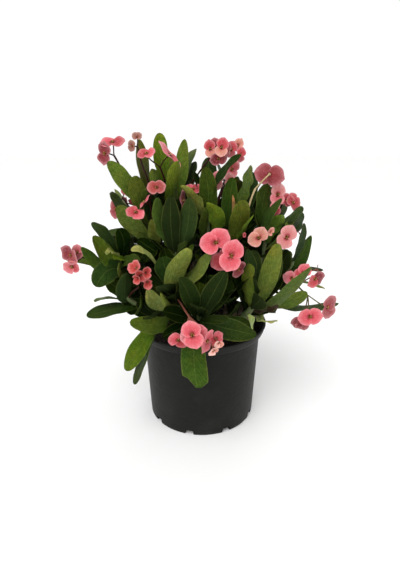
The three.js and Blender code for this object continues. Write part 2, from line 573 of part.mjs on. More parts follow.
// Leaves set by hand: [shoot, share up the leafy stem, tip x, tip z, tip depth, base x, base z, width,
// roll (degrees that the visible face turns to the right), face (1 the upper, -1 the lower), wave].
const LEAVES = [
  ['a', 0.80, -131, 394, -20, -95, 348, 25, 28, 1, 0],
  ['a', 0.55, -95, 375, -42, -89, 324, 25, 12, -1, 0.8],
  ['a', 0.45, -130, 351, 0, -129, 336, 24, 70, 1, 0],
  ['a', 0.50, -122, 354, 12, -120, 337, 24, 66, 1, 0],
  ['a', 0.85, -85, 424, -8, -82, 350, 27, 34, 1, 0],
  ['b', 0.75, -57, 432, 12, -60, 383, 24, 15, 1, 0],
  ['b', 0.90, -23, 424, 18, -29, 355, 24, -35, 1, 0],
  ['b', 0.70, -11, 410, 42, -18, 398, 24, -60, 1, 0],
  ['b', 0.50, -34, 395, -18, -44, 334, 24, 38, -1, 1.2],
  ['b', 0.85, -44, 401, 30, -44, 379, 24, 20, 1, 0],
  ['a', 0.90, -71, 384, -10, -52, 366, 22, 50, -1, 0],
  ['c', 0.60, -29, 362, -42, 1, 330, 24, -58, -1, 0],
  ['c', 0.85, 5, 387, -18, 11, 324, 25, 8, 1, 0],
  ['c', 0.75, 9, 400, 12, 10, 355, 25, -10, 1, 0],
  ['c', 0.95, 54, 403, -14, 20, 380, 22, -30, 1, 0],
  ['d', 0.85, 70, 388, 6, 54, 361, 24, 58, 1, 0],
  ['d', 0.70, 72, 380, 18, 62, 334, 25, 14, 1, 0],
  ['d', 0.60, 44, 373, -28, 38, 321, 25, -34, 1, 0],
  ['d', 0.45, 60, 341, -58, 51, 283, 27, 10, -1, 0.6],
  ['e', 0.75, 145, 332, -14, 120, 312, 25, 52, 1, 0],
  ['e', 0.85, 120, 350, -8, 114, 324, 22, 66, 1, 0],
  ['e', 0.55, 115, 343, -38, 73, 305, 24, -60, -1, 0],
  ['e', 0.60, 114, 320, -34, 107, 298, 25, 30, -1, 0],
  ['e', 0.50, 131, 322, -18, 130, 300, 24, 55, 1, 0],
  ['e', 0.40, 145, 324, 2, 141, 295, 24, 58, 1, 0],
  ['c', 0.35, 9, 338, -56, 33, 304, 25, -55, -1, 0],
  ['d', 0.30, 73, 318, -62, 65, 295, 22, 70, -1, 0],
  ['i', 0.75, 15, 263, -96, -29, 211, 25, -48, -1, 0],
  ['i', 0.55, -17, 269, -110, -60, 202, 25, 18, -1, 1.6],
  ['j', 0.35, -22, 277, -76, -49, 257, 25, -64, 1, 0],
  ['j', 0.80, -64, 345, -52, -61, 290, 24, 42, -1, 0],
  ['j', 0.60, -44, 347, -64, -47, 275, 26, -8, -1, 0],
  ['j', 0.75, -17, 345, -58, -22, 280, 26, -20, -1, 0],
  ['c', 0.20, 13, 336, -46, 2, 298, 24, 58, -1, 0],
  ['k', 0.75, -161, 308, -38, -131, 283, 25, 55, 1, 0],
  ['k', 0.60, -160, 289, -55, -136, 236, 24, 34, 1, 0],
  ['k', 0.45, -205, 254, -40, -150, 249, 19, 52, 1, 0],
  ['k', 0.30, -162, 209, -62, -134, 264, 32, 10, 1, 0],
  ['k', 0.50, -92, 251, -72, -133, 255, 24, -38, 1, 0],
  ['k', 0.20, -126, 244, -72, -115, 225, 24, 48, -1, 0],
  ['l', 0.85, -115, 232, -72, -127, 179, 24, 44, -1, 0],
  ['l', 0.40, -167, 185, -70, -138, 196, 24, 78, 1, 0],
  ['l', 0.25, -181, 160, -78, -124, 176, 30, 48, 1, 0],
  ['l', 0.60, -111, 162, -72, -101, 228, 31, 8, 1, 0],
  ['m', 0.55, -114, 150, -112, -31, 142, 26, -12, 1, 0.8],
  ['m', 0.35, -125, 62, -92, -87, 136, 26, 16, 1, 1.6],
  ['m', 0.45, -113, 36, -100, -83, 110, 24, 50, 1, 0],
  ['h', 0.50, 0, 29, -128, -22, 140, 34, 8, 1, 1.2],
  ['h', 0.70, 88, 127, -120, 5, 143, 31, 6, 1, 0],
  ['g', 0.80, 113, 278, -100, 94, 179, 25, 8, -1, 0.6],
  ['g', 0.60, 74, 246, -106, 61, 186, 24, -42, -1, 1.6],
  ['h', 0.80, 36, 235, -112, 0, 155, 27, 14, -1, 0],
  ['g', 0.65, 166, 242, -104, 107, 152, 22, 42, -1, 0],
  ['f', 0.60, 183, 235, -44, 152, 250, 25, 60, 1, 0],
  ['f', 0.70, 161, 290, -34, 132, 212, 24, 38, 1, 0],
  ['f', 0.85, 149, 308, -22, 143, 267, 22, 72, 1, 0],
  ['n', 0.60, 213, 181, -40, 153, 179, 25, 58, 1, 0],
  ['f', 0.50, 188, 206, -10, 177, 219, 20, 72, 1, 0],
  ['i', 0.30, -84, 204, -104, -78, 167, 20, 44, 1, 0],
  ['i', 0.45, -64, 199, -118, -33, 150, 24, 62, -1, 0],
  ['o', 0.50, 56, 183, -92, 57, 150, 22, 55, -1, 0],
  ['n', 0.30, 120, 152, -80, 79, 148, 18, 80, 1, 0],
  ['g', 0.25, 73, 162, -112, 88, 128, 16, 60, 1, 0],
  ['i', 0.55, -105, 266, -88, -78, 277, 18, 50, 1, 0],
  ['a', 0.12, -121, 333, -34, -99, 299, 25, 10, 1, 0],
  ['a', 0.05, -73, 313, -60, -73, 283, 17, 20, 1, 0],
  ['k', 0.95, -122, 300, -40, -111, 274, 24, 20, 1, 0],
  ['k', 0.55, -132, 254, -70, -113, 261, 16, 50, 1, 0],
  ['e', 0.70, 93, 365, -20, 80, 324, 24, 30, 1, 0],
  ['k', 0.40, -179, 272, -50, -146, 222, 25, 40, 1, 0],
  ['n', 0.45, 162, 201, -58, 133, 183, 24, 40, 1, 0],
];

// If a leaf meets another node, it slides nearer or farther along the sight line, tip and blade.
const SLIDES = [0, 7, -7, 14, -14, 22, -22, 30, -30, 40];

function handLeaf(row, slide) {
  const [name, share, tipX, tipZ, tipY, baseX, baseZ, width, roll, face, wave] = row;
  const shoot = shootNamed[name];
  const root = shoot.curve.getPointAt(mix(shoot.foot + 0.03, 0.99, share));
  const tip = seen(tipX, tipZ, tipY + slide);
  const base = seen(baseX, baseZ, mix(root.y, tip.y, 0.4));
  const along = tip.clone().sub(base).normalize();
  const sight = EYE.clone().sub(base);
  const normal = sight.addScaledVector(along, -sight.dot(along)).normalize();
  normal.applyAxisAngle(along, rad(roll)).multiplyScalar(face);
  const kind = wave > 0 ? 'waved' : 'plain';
  return { line: leafLine(root, base, tip, normal), normal, width, wave, phase: tipX, kind };
}

// Turns, tilts (degrees) and lengths that a leaf set by rule tries in order until it stands clear.
const TRIES = [
  [0, 0, 1], [13, 0, 1], [-13, 0, 1], [0, -13, 1], [0, 12, 0.95], [26, -8, 0.95], [-26, -8, 0.95],
  [38, 6, 0.9], [-38, 6, 0.9], [12, -22, 0.8], [-12, 20, 0.8], [70, 0, 0.95], [-70, 0, 0.95],
  [110, -6, 0.9], [-110, -6, 0.9], [180, 0, 0.9], [0, -18, 0.7], [90, -22, 0.75], [-90, -22, 0.75],
];
const GOLDEN_ANGLE = 137.5;

function ruleLeaf(shoot, i, [turn, tilt, shorten]) {
  const share = (i + 0.5) / shoot.rule;
  const t = mix(shoot.foot + 0.03, 0.99, share);
  const root = shoot.curve.getPointAt(t);
  const axis = shoot.curve.getTangentAt(t);
  const across = new Vector3(1, 0, 0).addScaledVector(axis, -axis.x).normalize();
  across.applyAxisAngle(axis, rad(shoot.index * 77 + i * GOLDEN_ANGLE + turn));
  const spread = rad(mix(72, 18, share ** 0.8) + tilt + 10 * (draw(shoot.index, i, 1) - 0.5));
  const along = axis.clone().multiplyScalar(Math.cos(spread)).addScaledVector(across, Math.sin(spread));
  const grown = 0.72 + 0.32 * Math.sin(Math.PI * (0.15 + 0.75 * share));
  const length = LEAF.length * grown * shorten * (0.92 + 0.16 * draw(shoot.index, i, 2));
  const tip = root.clone().addScaledVector(along, length);
  tip.z += length * 0.1 * (draw(shoot.index, i, 3) - 0.4);
  const normal = axis.clone().addScaledVector(along, -axis.dot(along)).normalize();
  const middle = root.clone().addScaledVector(along, length * 0.5);
  return {
    line: leafLine(root, middle, tip, normal),
    normal,
    width: LEAF.width * (0.86 + 0.2 * draw(shoot.index, i, 4)),
    wave: 0,
    phase: i,
    kind: 'short',
  };
}

function isInCrown(point) {
  const own = reading(point);
  const across = own.x / CROWN.outlineRadius[0];
  const up = (own.z - CROWN.outlineMiddle) / CROWN.outlineRadius[1];
  const isInDome = point.clone().sub(CROWN.centre).divide(CROWN.radius).length() < 1;
  const lowest = CROWN.footHeight + CROWN.footSlope * Math.max(0, Math.abs(own.x) - CROWN.footHalf);
  return isInDome && Math.hypot(across, up) < 1 && own.z > lowest;
}

function coversShown(leaf) {
  return [0.45, 0.7, 0.95].some((s) => {
    const own = reading(leaf.line.getPoint(s));
    return shown.some((other) => (
      other.y > own.y + 2 && Math.hypot(other.x - own.x, other.z - own.z) < other.reach));
  });
}

function placeLeaf(shoot, leaf) {
  const grown = leafSolid(leaf, LEAF.clearance);
  const grownTip = leafSolid(leaf, LEAF.clearance, LEAF.rootShare);
  if (!isClear(shoot.node, grown, grownTip)) return false;
  place(shoot.node, 'leaf', leafSolid(leaf), leafSolid(leaf, 0, LEAF.rootShare));
  return true;
}

function makeLeaves() {
  for (const row of LEAVES) {
    const shoot = shootNamed[row[0]];
    const slide = SLIDES.find((distance) => placeLeaf(shoot, handLeaf(row, distance)));
    const { line } = handLeaf(row, slide ?? 0);
    for (const s of [0.5, 0.7, 0.9]) shown.push({ ...reading(line.getPoint(s)), reach: LEAF.shownReach });
  }
  for (const shoot of SHOOTS) {
    for (let i = 0; i < shoot.rule; i += 1) {
      TRIES.some((attempt) => {
        const leaf = ruleLeaf(shoot, i, attempt);
        const isAllowed = isInCrown(leaf.line.getPoint(1)) && !coversShown(leaf);
        return isAllowed && placeLeaf(shoot, leaf);
      });
    }
  }
}

// ---- Spines ---------------------------------------------------------------------------------------

// Spines stand off the canes and shoots at even steps, each turned from the last. Those with no room are
// left out.
function placeSpine(node, material, curve, t, turn, radius) {
  const axis = curve.getTangentAt(t);
  const across = new Vector3(1, 0, 0).addScaledVector(axis, -axis.x).normalize().applyAxisAngle(axis, turn);
  const root = curve.getPointAt(t);
  const ahead = across.clone().addScaledVector(axis, 0.25).normalize();
  const line = (from) => new THREE.LineCurve3(
    root.clone().addScaledVector(ahead, from), root.clone().addScaledVector(ahead, radius + SPINE.length));
  const spike = (from, extra) => {
    const [base] = tubeRings(line(from), 0, 1, SPINE.radius + extra, 0, 3, 1);
    return loft([base, [line(from).getPoint(1)]]);
  };
  const foot = radius - SPINE.sunk;
  if (isClear(node, spike(foot, GAP), spike(radius + 1, GAP))) place(node, material, spike(foot, 0));
}

function makeSpines() {
  for (const cane of Object.values(CANES)) {
    for (const [i, t] of [0.76, 0.9].entries()) {
      placeSpine(`cane_${cane.name}`, 'cane', cane.trunk, t, i * SPINE.turn, CANE.forkRadius);
    }
  }
  for (const shoot of SHOOTS) {
    const step = SPINE.spacing / shoot.length;
    for (let i = 0, t = 0.5; t < 0.98; i += 1, t += step) {
      if (Math.abs(t - shoot.foot) * shoot.length < 3) continue;
      const turn = i * SPINE.turn + shoot.index;
      if (t < shoot.foot) placeSpine(`cane_${shoot.cane}`, 'cane', shoot.curve, t, turn, STEM.footRadius);
      else placeSpine(shoot.node, 'leaf', shoot.curve, t, turn, stemRadius(shoot, t));
    }
  }
}

// ---- Assembly -------------------------------------------------------------------------------------

makeStems();
place('pot', 'pot', makePot());
makeBlooms();
makeLeaves();
makeSpines();
place('soil', 'soil', makeSoil(Object.values(CANES)));

const group = new THREE.Group();
for (const [name, { material, solids }] of nodes) {
  const { vertProperties, triVerts } = oneBody(fuse(solids)).simplify(MERGED).getMesh();
  const geometry = new THREE.BufferGeometry();
  geometry.setAttribute('position', new THREE.BufferAttribute(vertProperties, 3));
  geometry.setIndex(new THREE.BufferAttribute(triVerts, 1));
  geometry.computeVertexNormals();
  const mesh = new THREE.Mesh(geometry, materials[material]);
  mesh.name = name;
  group.add(mesh);
}

export default group;
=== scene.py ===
# Crown of thorns plant (Euphorbia milii, large-flowered hybrid) in its nursery pot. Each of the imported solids
# is replaced here by a fine piece of the same form that stands in the same place.
import math

import bpy
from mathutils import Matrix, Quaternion, Vector, kdtree, noise


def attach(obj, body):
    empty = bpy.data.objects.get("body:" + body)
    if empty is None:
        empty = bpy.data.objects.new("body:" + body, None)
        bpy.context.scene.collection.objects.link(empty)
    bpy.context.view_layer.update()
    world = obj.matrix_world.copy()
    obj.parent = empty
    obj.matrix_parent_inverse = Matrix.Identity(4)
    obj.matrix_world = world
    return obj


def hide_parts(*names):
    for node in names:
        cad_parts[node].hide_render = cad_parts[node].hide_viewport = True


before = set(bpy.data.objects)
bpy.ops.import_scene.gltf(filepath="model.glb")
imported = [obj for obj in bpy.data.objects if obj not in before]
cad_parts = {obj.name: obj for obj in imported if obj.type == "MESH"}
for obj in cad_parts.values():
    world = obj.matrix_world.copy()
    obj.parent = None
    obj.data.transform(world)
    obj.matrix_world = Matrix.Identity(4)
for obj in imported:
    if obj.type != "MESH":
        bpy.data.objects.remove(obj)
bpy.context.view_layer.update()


# ---- Camera ------------------------------------------------------------------------------------------
# A camera a little over half a metre in front of the plant and above it, looking down on the pot.

EYE_PLACE = Vector((0, -620, 433))
EYE_PITCH = 19.6
EYE_FOCUS_PIXELS = 430
PICTURE_WIDTH = 400
PICTURE_HEIGHT = 570
POT_AXIS_COLUMN = 201.7
SENSOR_SIZE = 36

eye_data = bpy.data.cameras.new("eye")
eye_data.lens = EYE_FOCUS_PIXELS / PICTURE_HEIGHT * SENSOR_SIZE
eye_data.sensor_width = SENSOR_SIZE
eye_data.shift_x = (PICTURE_WIDTH / 2 - POT_AXIS_COLUMN) / PICTURE_HEIGHT
eye = bpy.data.objects.new("eye", eye_data)
eye.location = EYE_PLACE / 1000
eye.rotation_euler = (math.radians(90 - EYE_PITCH), 0, 0)
bpy.context.collection.objects.link(eye)
bpy.context.scene.camera = eye


# ---- Studio ------------------------------------------------------------------------------------------
# A white floor that runs out of sight, lit by a broad soft sun, three weak lamps and a white sky that is
# dimmer overhead.

FLOOR_HALF = 9000
FLOOR_WHITE = (0.97, 0.97, 0.965, 1)
SKY_STRENGTH = 1.03
SKY_OVERHEAD = 0.58
SKY_DIMS_FROM = 0.25
SKY_DIMS_TO = 0.5
SUN_STRENGTH = 1.7
SUN_TURNED = (38, -22, 0)
SUN_SPREAD = 55
LAMP_AIM = Vector((0, 0, 0.22))
LAMPS = {
    "lamp_front": {"place": (-0.55, -1.0, 1.5), "size": 1.1, "power": 4},
    "lamp_right": {"place": (1.5, -0.5, 0.9), "size": 0.9, "power": 3},
    "lamp_back": {"place": (0.3, 1.3, 1.5), "size": 1.0, "power": 4},
}


def add_node(tree, kind, inputs=(), **settings):
    node = tree.nodes.new(kind)
    for name, value in settings.items():
        setattr(node, name, value)
    for name, value in dict(inputs).items():
        if isinstance(value, bpy.types.NodeSocket):
            tree.links.new(value, node.inputs[name])
        else:
            node.inputs[name].default_value = value
    return node


def ranged(tree, value, low, high, first=0.0, last=1.0, curve="LINEAR"):
    # Turns the range from low to high of a value into the range from first to last.
    return add_node(tree, "ShaderNodeMapRange", {
        "Value": value, "From Min": low, "From Max": high, "To Min": first, "To Max": last},
        interpolation_type=curve).outputs[0]


def new_material(name):
    material = bpy.data.materials.new(name)
    material.use_nodes = True
    material.node_tree.nodes.clear()
    return material, material.node_tree


def add_surface(tree, inputs):
    surface = add_node(tree, "ShaderNodeBsdfPrincipled", inputs)
    add_node(tree, "ShaderNodeOutputMaterial", {"Surface": surface.outputs["BSDF"]})


def mesh_object(name, points, faces, materials, smooth=True):
    mesh = bpy.data.meshes.new(name)
    mesh.from_pydata([(p[0] / 1000, p[1] / 1000, p[2] / 1000) for p in points], [], faces)
    for material in materials:
        mesh.materials.append(material)
    mesh.polygons.foreach_set("use_smooth", [smooth] * len(mesh.polygons))
    piece = bpy.data.objects.new(name, mesh)
    bpy.context.collection.objects.link(piece)
    return piece


floor_white, floor_tree = new_material("floor_white")
add_surface(floor_tree, {"Base Color": FLOOR_WHITE, "Roughness": 0.9})
floor_corners = [(x * FLOOR_HALF, y * FLOOR_HALF, 0) for x, y in ((-1, -1), (1, -1), (1, 1), (-1, 1))]
floor = mesh_object("floor", floor_corners, [(0, 1, 2, 3)], [floor_white], smooth=False)

for lamp_name, lamp in LAMPS.items():
    lamp_data = bpy.data.lights.new(lamp_name, "AREA")
    lamp_data.shape = "DISK"
    lamp_data.size = lamp["size"]
    lamp_data.energy = lamp["power"]
    lamp_object = bpy.data.objects.new(lamp_name, lamp_data)
    lamp_object.location = lamp["place"]
    lamp_object.rotation_euler = (LAMP_AIM - lamp_object.location).to_track_quat("-Z", "Y").to_euler()
    bpy.context.collection.objects.link(lamp_object)

sun_data = bpy.data.lights.new("sun_soft", "SUN")
sun_data.energy = SUN_STRENGTH
sun_data.angle = math.radians(SUN_SPREAD)
sun = bpy.data.objects.new("sun_soft", sun_data)
sun.rotation_euler = [math.radians(turn) for turn in SUN_TURNED]
bpy.context.collection.objects.link(sun)

sky = bpy.data.worlds.new("sky")
sky.use_nodes = True
sky_place = add_node(sky.node_tree, "ShaderNodeTexCoord").outputs["Generated"]
sky_height = add_node(sky.node_tree, "ShaderNodeSeparateXYZ", {0: sky_place}).outputs["Z"]
sky_light = ranged(sky.node_tree, sky_height, SKY_DIMS_FROM, SKY_DIMS_TO, SKY_STRENGTH, SKY_OVERHEAD)
sky_inputs = sky.node_tree.nodes["Background"].inputs
sky_inputs["Color"].default_value = (1, 1, 1, 1)
sky.node_tree.links.new(sky_light, sky_inputs["Strength"])
bpy.context.scene.world = sky
bpy.context.scene.view_settings.view_transform = "Standard"


# ---- Pot ---------------------------------------------------------------------------------------------
# A round nursery pot moulded in one piece from black plastic: a thin tapering wall, a rolled rim band that
# stands out from it, and notches in the foot for draining. It is a little dusty near the foot.

POT_BAND_FOOT = 142
POT_BAND_RADIUS = 96
POT_TOP_RADIUS = 90.8
POT_FOOT_RADIUS = 83.5
POT_WALL = 2.2
POT_FLOOR = 3
POT_SIDES = 144
# Radius and height of each place up the outside of the rim, and down its inside.
RIM_OUTSIDE = [(97.6, 147), (98.9, 151.5), (100, 154.2), (99.8, 155.5), (98.7, 156)]
RIM_INSIDE = [(97.2, 155.6), (96.4, 154), (94.9, 149)]
NOTCHES = 9
NOTCH_TURN = 0.42
NOTCH_SIZE = (18, 15, 16)
NOTCH_TAPER = 0.82
POT_BLACK = (0.0085, 0.0085, 0.0072, 1)
POT_DUST = (0.045, 0.0445, 0.038, 1)
POT_SMEAR = (0.05, 0.05, 0.045, 1)
SMEAR_STRENGTH = 0.1
DUST_STRENGTH = (0.12, 0.4)
DUST_TOP = 0.05
POT_ROUGHNESS = (0.5, 0.64)
POT_GLOSS = 0.12
# The size, cover and softness of the patches that dust and smears lie in.
DUST_PATCHES = (22, 0.52, 0.35)
SMEAR_PATCHES = (90, 0.45, 0.25)
POT_SHARP_ABOVE = 38


def calculated(tree, operation, *values):
    return add_node(tree, "ShaderNodeMath", dict(enumerate(values)), operation=operation).outputs[0]


def mix_colour(tree, share, first, second, blend="MIX"):
    node = add_node(tree, "ShaderNodeMix", data_type="RGBA", blend_type=blend)
    for socket, value in ((node.inputs[0], share), (node.inputs[6], first), (node.inputs[7], second)):
        if isinstance(value, bpy.types.NodeSocket):
            tree.links.new(value, socket)
        else:
            socket.default_value = value
    return node.outputs[2]


def layered(tree, colour, *layers):
    # Lays tints over a colour, each where its mask says, at its strength, multiplied or mixed in.
    for mask, strength, tint, blend in layers:
        colour = mix_colour(tree, calculated(tree, "MULTIPLY", mask, strength), colour, tint, blend)
    return colour


def noise_mask(tree, scale, detail, roughness=0.5, **inputs):
    inputs.update(Scale=scale, Detail=detail, Roughness=roughness)
    return add_node(tree, "ShaderNodeTexNoise", inputs).outputs["Fac"]


def bumped(tree, height, strength, distance):
    return add_node(tree, "ShaderNodeBump", {
        "Height": height, "Strength": strength, "Distance": distance}).outputs[0]


def new_group(name, inputs, outputs):
    group = bpy.data.node_groups.new(name, "ShaderNodeTree")
    for way, names in (("INPUT", inputs), ("OUTPUT", outputs)):
        for socket_name in names:
            group.interface.new_socket(socket_name, in_out=way, socket_type="NodeSocketFloat")
    return group, group.nodes.new("NodeGroupInput").outputs, group.nodes.new("NodeGroupOutput").inputs


# Blotches: a mask of soft patches, set by their size and by how much of the surface they take.
blotches, blotch_in, blotch_out = new_group("blotches", ("Scale", "Cover", "Softness"), ("Mask",))
blotch_place = add_node(blotches, "ShaderNodeTexCoord").outputs["Object"]
blotch_noise = noise_mask(blotches, blotch_in["Scale"], 5, 0.6, Vector=blotch_place)
blotch_low = calculated(blotches, "SUBTRACT", 1.0, blotch_in["Cover"])
blotch_high = calculated(blotches, "ADD", blotch_low, blotch_in["Softness"])
blotches.links.new(ranged(blotches, blotch_noise, blotch_low, blotch_high), blotch_out["Mask"])


def blotch_mask(tree, scale, cover, softness):
    sizes = {"Scale": scale, "Cover": cover, "Softness": softness}
    return add_node(tree, "ShaderNodeGroup", sizes, node_tree=blotches).outputs["Mask"]


def pot_plastic():
    material, tree = new_material("pot_plastic")
    dust = blotch_mask(tree, *DUST_PATCHES)
    smears = blotch_mask(tree, *SMEAR_PATCHES)
    place = add_node(tree, "ShaderNodeTexCoord").outputs["Object"]
    height = add_node(tree, "ShaderNodeSeparateXYZ", {0: place}).outputs["Z"]
    dustier = ranged(tree, height, DUST_TOP, 0.0, *DUST_STRENGTH)
    colour = layered(
        tree, POT_BLACK,
        (dust, dustier, POT_DUST, "MIX"),
        (smears, SMEAR_STRENGTH, POT_SMEAR, "MIX"))
    relief = calculated(tree, "MULTIPLY_ADD", noise_mask(tree, 26, 1), 6, noise_mask(tree, 900, 2))
    add_surface(tree, {
        "Base Color": colour,
        "Roughness": ranged(tree, smears, 0.0, 1.0, *POT_ROUGHNESS),
        "Specular IOR Level": POT_GLOSS,
        "Normal": bumped(tree, relief, 0.25, 0.0003)})
    return material


def ring_faces(rings, count):
    # Quads between rings of points, each with the given count.
    faces = []
    for low in range(0, (rings - 1) * count, count):
        for j in range(count):
            ahead = (j + 1) % count
            faces.append((low + j, low + ahead, low + count + ahead, low + count + j))
    return faces


def lathed(profile, sides):
    points = []
    for radius, height in profile:
        for side in range(sides):
            turn = side / sides * 2 * math.pi
            points.append((radius * math.cos(turn), radius * math.sin(turn), height))
    return points, ring_faces(len(profile), sides)


def wall_radius(height):
    return POT_FOOT_RADIUS + (POT_TOP_RADIUS - POT_FOOT_RADIUS) * height / POT_BAND_FOOT


foot, top, band = POT_FOOT_RADIUS, POT_TOP_RADIUS, POT_BAND_FOOT
pot_profile = [(0.01, 0.0), (40, 0.0), (foot - 2.6, 0.0), (foot - 0.9, 0.5), (foot, 1.9)]
pot_profile += [(wall_radius(z), z) for z in (6, 20, 45, 70, 95, 120, band - 3)]
pot_profile += [(top + 0.4, band - 0.4), (POT_BAND_RADIUS - 1.2, band + 0.3), (POT_BAND_RADIUS, band + 1.4)]
pot_profile += RIM_OUTSIDE + RIM_INSIDE + [(top - POT_WALL + 0.5, band + 0.5)]
pot_profile += [(wall_radius(z) - POT_WALL, z) for z in (band - 3, 100, 60, 20, POT_FLOOR + 0.4)]
pot_profile += [(60, POT_FLOOR), (0.01, POT_FLOOR)]
pot = mesh_object("pot_shell", *lathed(pot_profile, POT_SIDES), [pot_plastic()])
bpy.context.view_layer.objects.active = pot
for notch in range(NOTCHES):
    turn = (notch + NOTCH_TURN) / NOTCHES * 2 * math.pi
    block_points = []
    for i in range(8):
        x, y, z = [size / 2 * (1 if i >> axis & 1 else -1) for axis, size in enumerate(NOTCH_SIZE)]
        x += POT_FOOT_RADIUS
        if z > 0:
            y *= NOTCH_TAPER
        block_points.append((x * math.cos(turn) - y * math.sin(turn),
                             x * math.sin(turn) + y * math.cos(turn), z))
    block_faces = [(0, 2, 3, 1), (4, 5, 7, 6), (0, 1, 5, 4), (2, 6, 7, 3), (0, 4, 6, 2), (1, 3, 7, 5)]
    block = mesh_object("notch_block", block_points, block_faces, [], smooth=False)
    cut = pot.modifiers.new("notch", "BOOLEAN")
    cut.object = block
    cut.operation = "DIFFERENCE"
    cut.solver = "EXACT"
    bpy.ops.object.modifier_apply(modifier="notch")
    block_mesh = block.data
    bpy.data.objects.remove(block)
    bpy.data.meshes.remove(block_mesh)
pot.data.set_sharp_from_angle(angle=math.radians(POT_SHARP_ABOVE))
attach(pot, "root")
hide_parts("pot")


# ---- Soil --------------------------------------------------------------------------------------------
# Dark potting mix of peat and bark, filled to a little below the rim and crowned in the middle. Its crumbs
# lie loose on top.

SOIL_LEVEL = 142
SOIL_FOOT = 4
SOIL_CROWN = 4
SOIL_LUMP = 1.8
SOIL_ROOM = 0.8
SOIL_RADIUS = POT_TOP_RADIUS - POT_WALL - 0.6
SOIL_RINGS = 36
SOIL_SIDES = 110
CRUMB_COUNT = 420
CRUMB_SIZES = (0.9, 3.3)
CRUMB_FLATNESS = 0.7
CRUMB_SUNK = 0.3
CRUMB_TURN = 6.28
CRUMB_ROUGHNESS = (0.75, 1.25)
SOIL_SHARP_ABOVE = 50
SOIL_DARK = (0.012, 0.008, 0.0055, 1)
SOIL_BARK = (0.06, 0.035, 0.02, 1)


def draw(a, b, c):
    # An even draw from 0 to 1 that is always the same for the same three numbers.
    value = math.sin(a * 12.9898 + b * 78.233 + c * 37.719) * 43758.5453
    return value - math.floor(value)


def mix(first, second, share):
    return first + (second - first) * share


def spotted_skin(name, base, spots, patches, roughness, grain=None, relief=None):
    # A dull skin with spots of a second colour. grain is the size, detail and roughness of its relief.
    material, tree = new_material(name)
    colour = mix_colour(tree, blotch_mask(tree, *patches), base, spots)
    inputs = {"Base Color": colour, "Roughness": roughness}
    if grain:
        inputs["Normal"] = bumped(tree, noise_mask(tree, *grain), *relief)
    add_surface(tree, inputs)
    return material


def soil_height(x, y):
    share = min(1.0, math.hypot(x, y) / SOIL_RADIUS)
    crown = SOIL_CROWN * (1 - share ** 2.2)
    lump = SOIL_LUMP * math.sin(x * 0.19 + 1) * math.cos(y * 0.23 - x * 0.05) * (1 - share ** 6)
    clods = 1.2 * noise.noise(Vector((x * 0.25, y * 0.25, 3)))
    crumbs = 0.7 * noise.noise(Vector((x, y, 8)) * 0.7)
    return SOIL_LEVEL + crown + lump + clods + crumbs


soil_profile = [(0.01, SOIL_FOOT), (60, SOIL_FOOT), (POT_FOOT_RADIUS - 14, SOIL_FOOT),
                (POT_FOOT_RADIUS - 12, 12)]
soil_profile += [(wall_radius(z) - POT_WALL - SOIL_ROOM, z) for z in (14, 80)]
soil_profile += [(SOIL_RADIUS, SOIL_LEVEL - 2)]
soil_profile += [(SOIL_RADIUS * (1 - ring / SOIL_RINGS) + 0.01, SOIL_LEVEL)
                 for ring in range(SOIL_RINGS + 1)]
soil_points, soil_faces = lathed(soil_profile, SOIL_SIDES)
soil_points = [(x, y, soil_height(x, y)) if z == SOIL_LEVEL else (x, y, z) for x, y, z in soil_points]
for crumb in range(CRUMB_COUNT):
    turn = 2 * math.pi * draw(crumb, 1, 40)
    reach = (SOIL_RADIUS - 4) * math.sqrt(draw(crumb, 2, 40))
    x, y = reach * math.cos(turn), reach * math.sin(turn)
    size = mix(*CRUMB_SIZES, draw(crumb, 3, 40) ** 3)
    stretch = Vector((1 + draw(crumb, 4, 40), 1, CRUMB_FLATNESS)) * size
    lie = Quaternion((draw(crumb, 5, 40), draw(crumb, 6, 40), 1), CRUMB_TURN * draw(crumb, 7, 40))
    first = len(soil_points)
    for corner, side in enumerate(((1, 0, 0), (0, 1, 0), (-1, 0, 0), (0, -1, 0), (0, 0, 1), (0, 0, -1))):
        place = lie @ (Vector(side) * stretch * mix(*CRUMB_ROUGHNESS, draw(crumb, corner, 41)))
        soil_points.append((x + place.x, y + place.y, soil_height(x, y) + size * CRUMB_SUNK + place.z))
    for a, b in ((0, 1), (1, 2), (2, 3), (3, 0)):
        soil_faces += [(first + a, first + b, first + 4), (first + b, first + a, first + 5)]
potting_mix = spotted_skin("potting_mix", SOIL_DARK, SOIL_BARK, (260, 0.46, 0.08), 0.95,
                           (420, 6, 0.7), (0.9, 0.0015))
soil = mesh_object("soil_fill", soil_points, soil_faces, [potting_mix])
soil.data.set_sharp_from_angle(angle=math.radians(SOIL_SHARP_ABOVE))
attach(soil, "root")
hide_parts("soil")


# ---- Canes -------------------------------------------------------------------------------------------
# Eight old woody stems that stand in the soil and branch. The bark is grey brown and rough. The thorns that
# give the plant its name stand on the branches. The trunks below the forks have none here.

GAP = 0.3
CANE_RADIUS = 7.6
FORK_RADIUS = 6.0
GREEN_RADIUS = 5.4
TIP_RADIUS = 3.4
LEAFY_LENGTH = 96
TRUNK_UPRIGHT = 6
HOLE_DEPTH = 45
# A shoot's line: how steeply it leaves its cane, how much it turns to its tip at once, and its handles.
SHOOT_RISE = 30
SHOOT_PULL = 1.4
SHOOT_HANDLE = 0.35
SPINE_LENGTH = 11
SPINE_SUNK = 1
SPINE_RADIUS = 0.75
SPINE_SIDES = 6
SPINE_SPACING = 42
SPINE_TURN = 2.4
SPINE_LEAN = 0.25
SPINE_BEND = 0.5
SPINE_FROM = 0.5
SPINE_TO = 0.98
SPINE_CLEAR = 3
BARK_BUMPS = 0.22
LEAST_WOOD = 0.42
# Where each ring of a thorn lies, as a share of its length, and how wide it is.
SPINE_RINGS = ((0.0, 1.9), (0.12, 1.15), (0.5, 0.62), (0.8, 0.3))
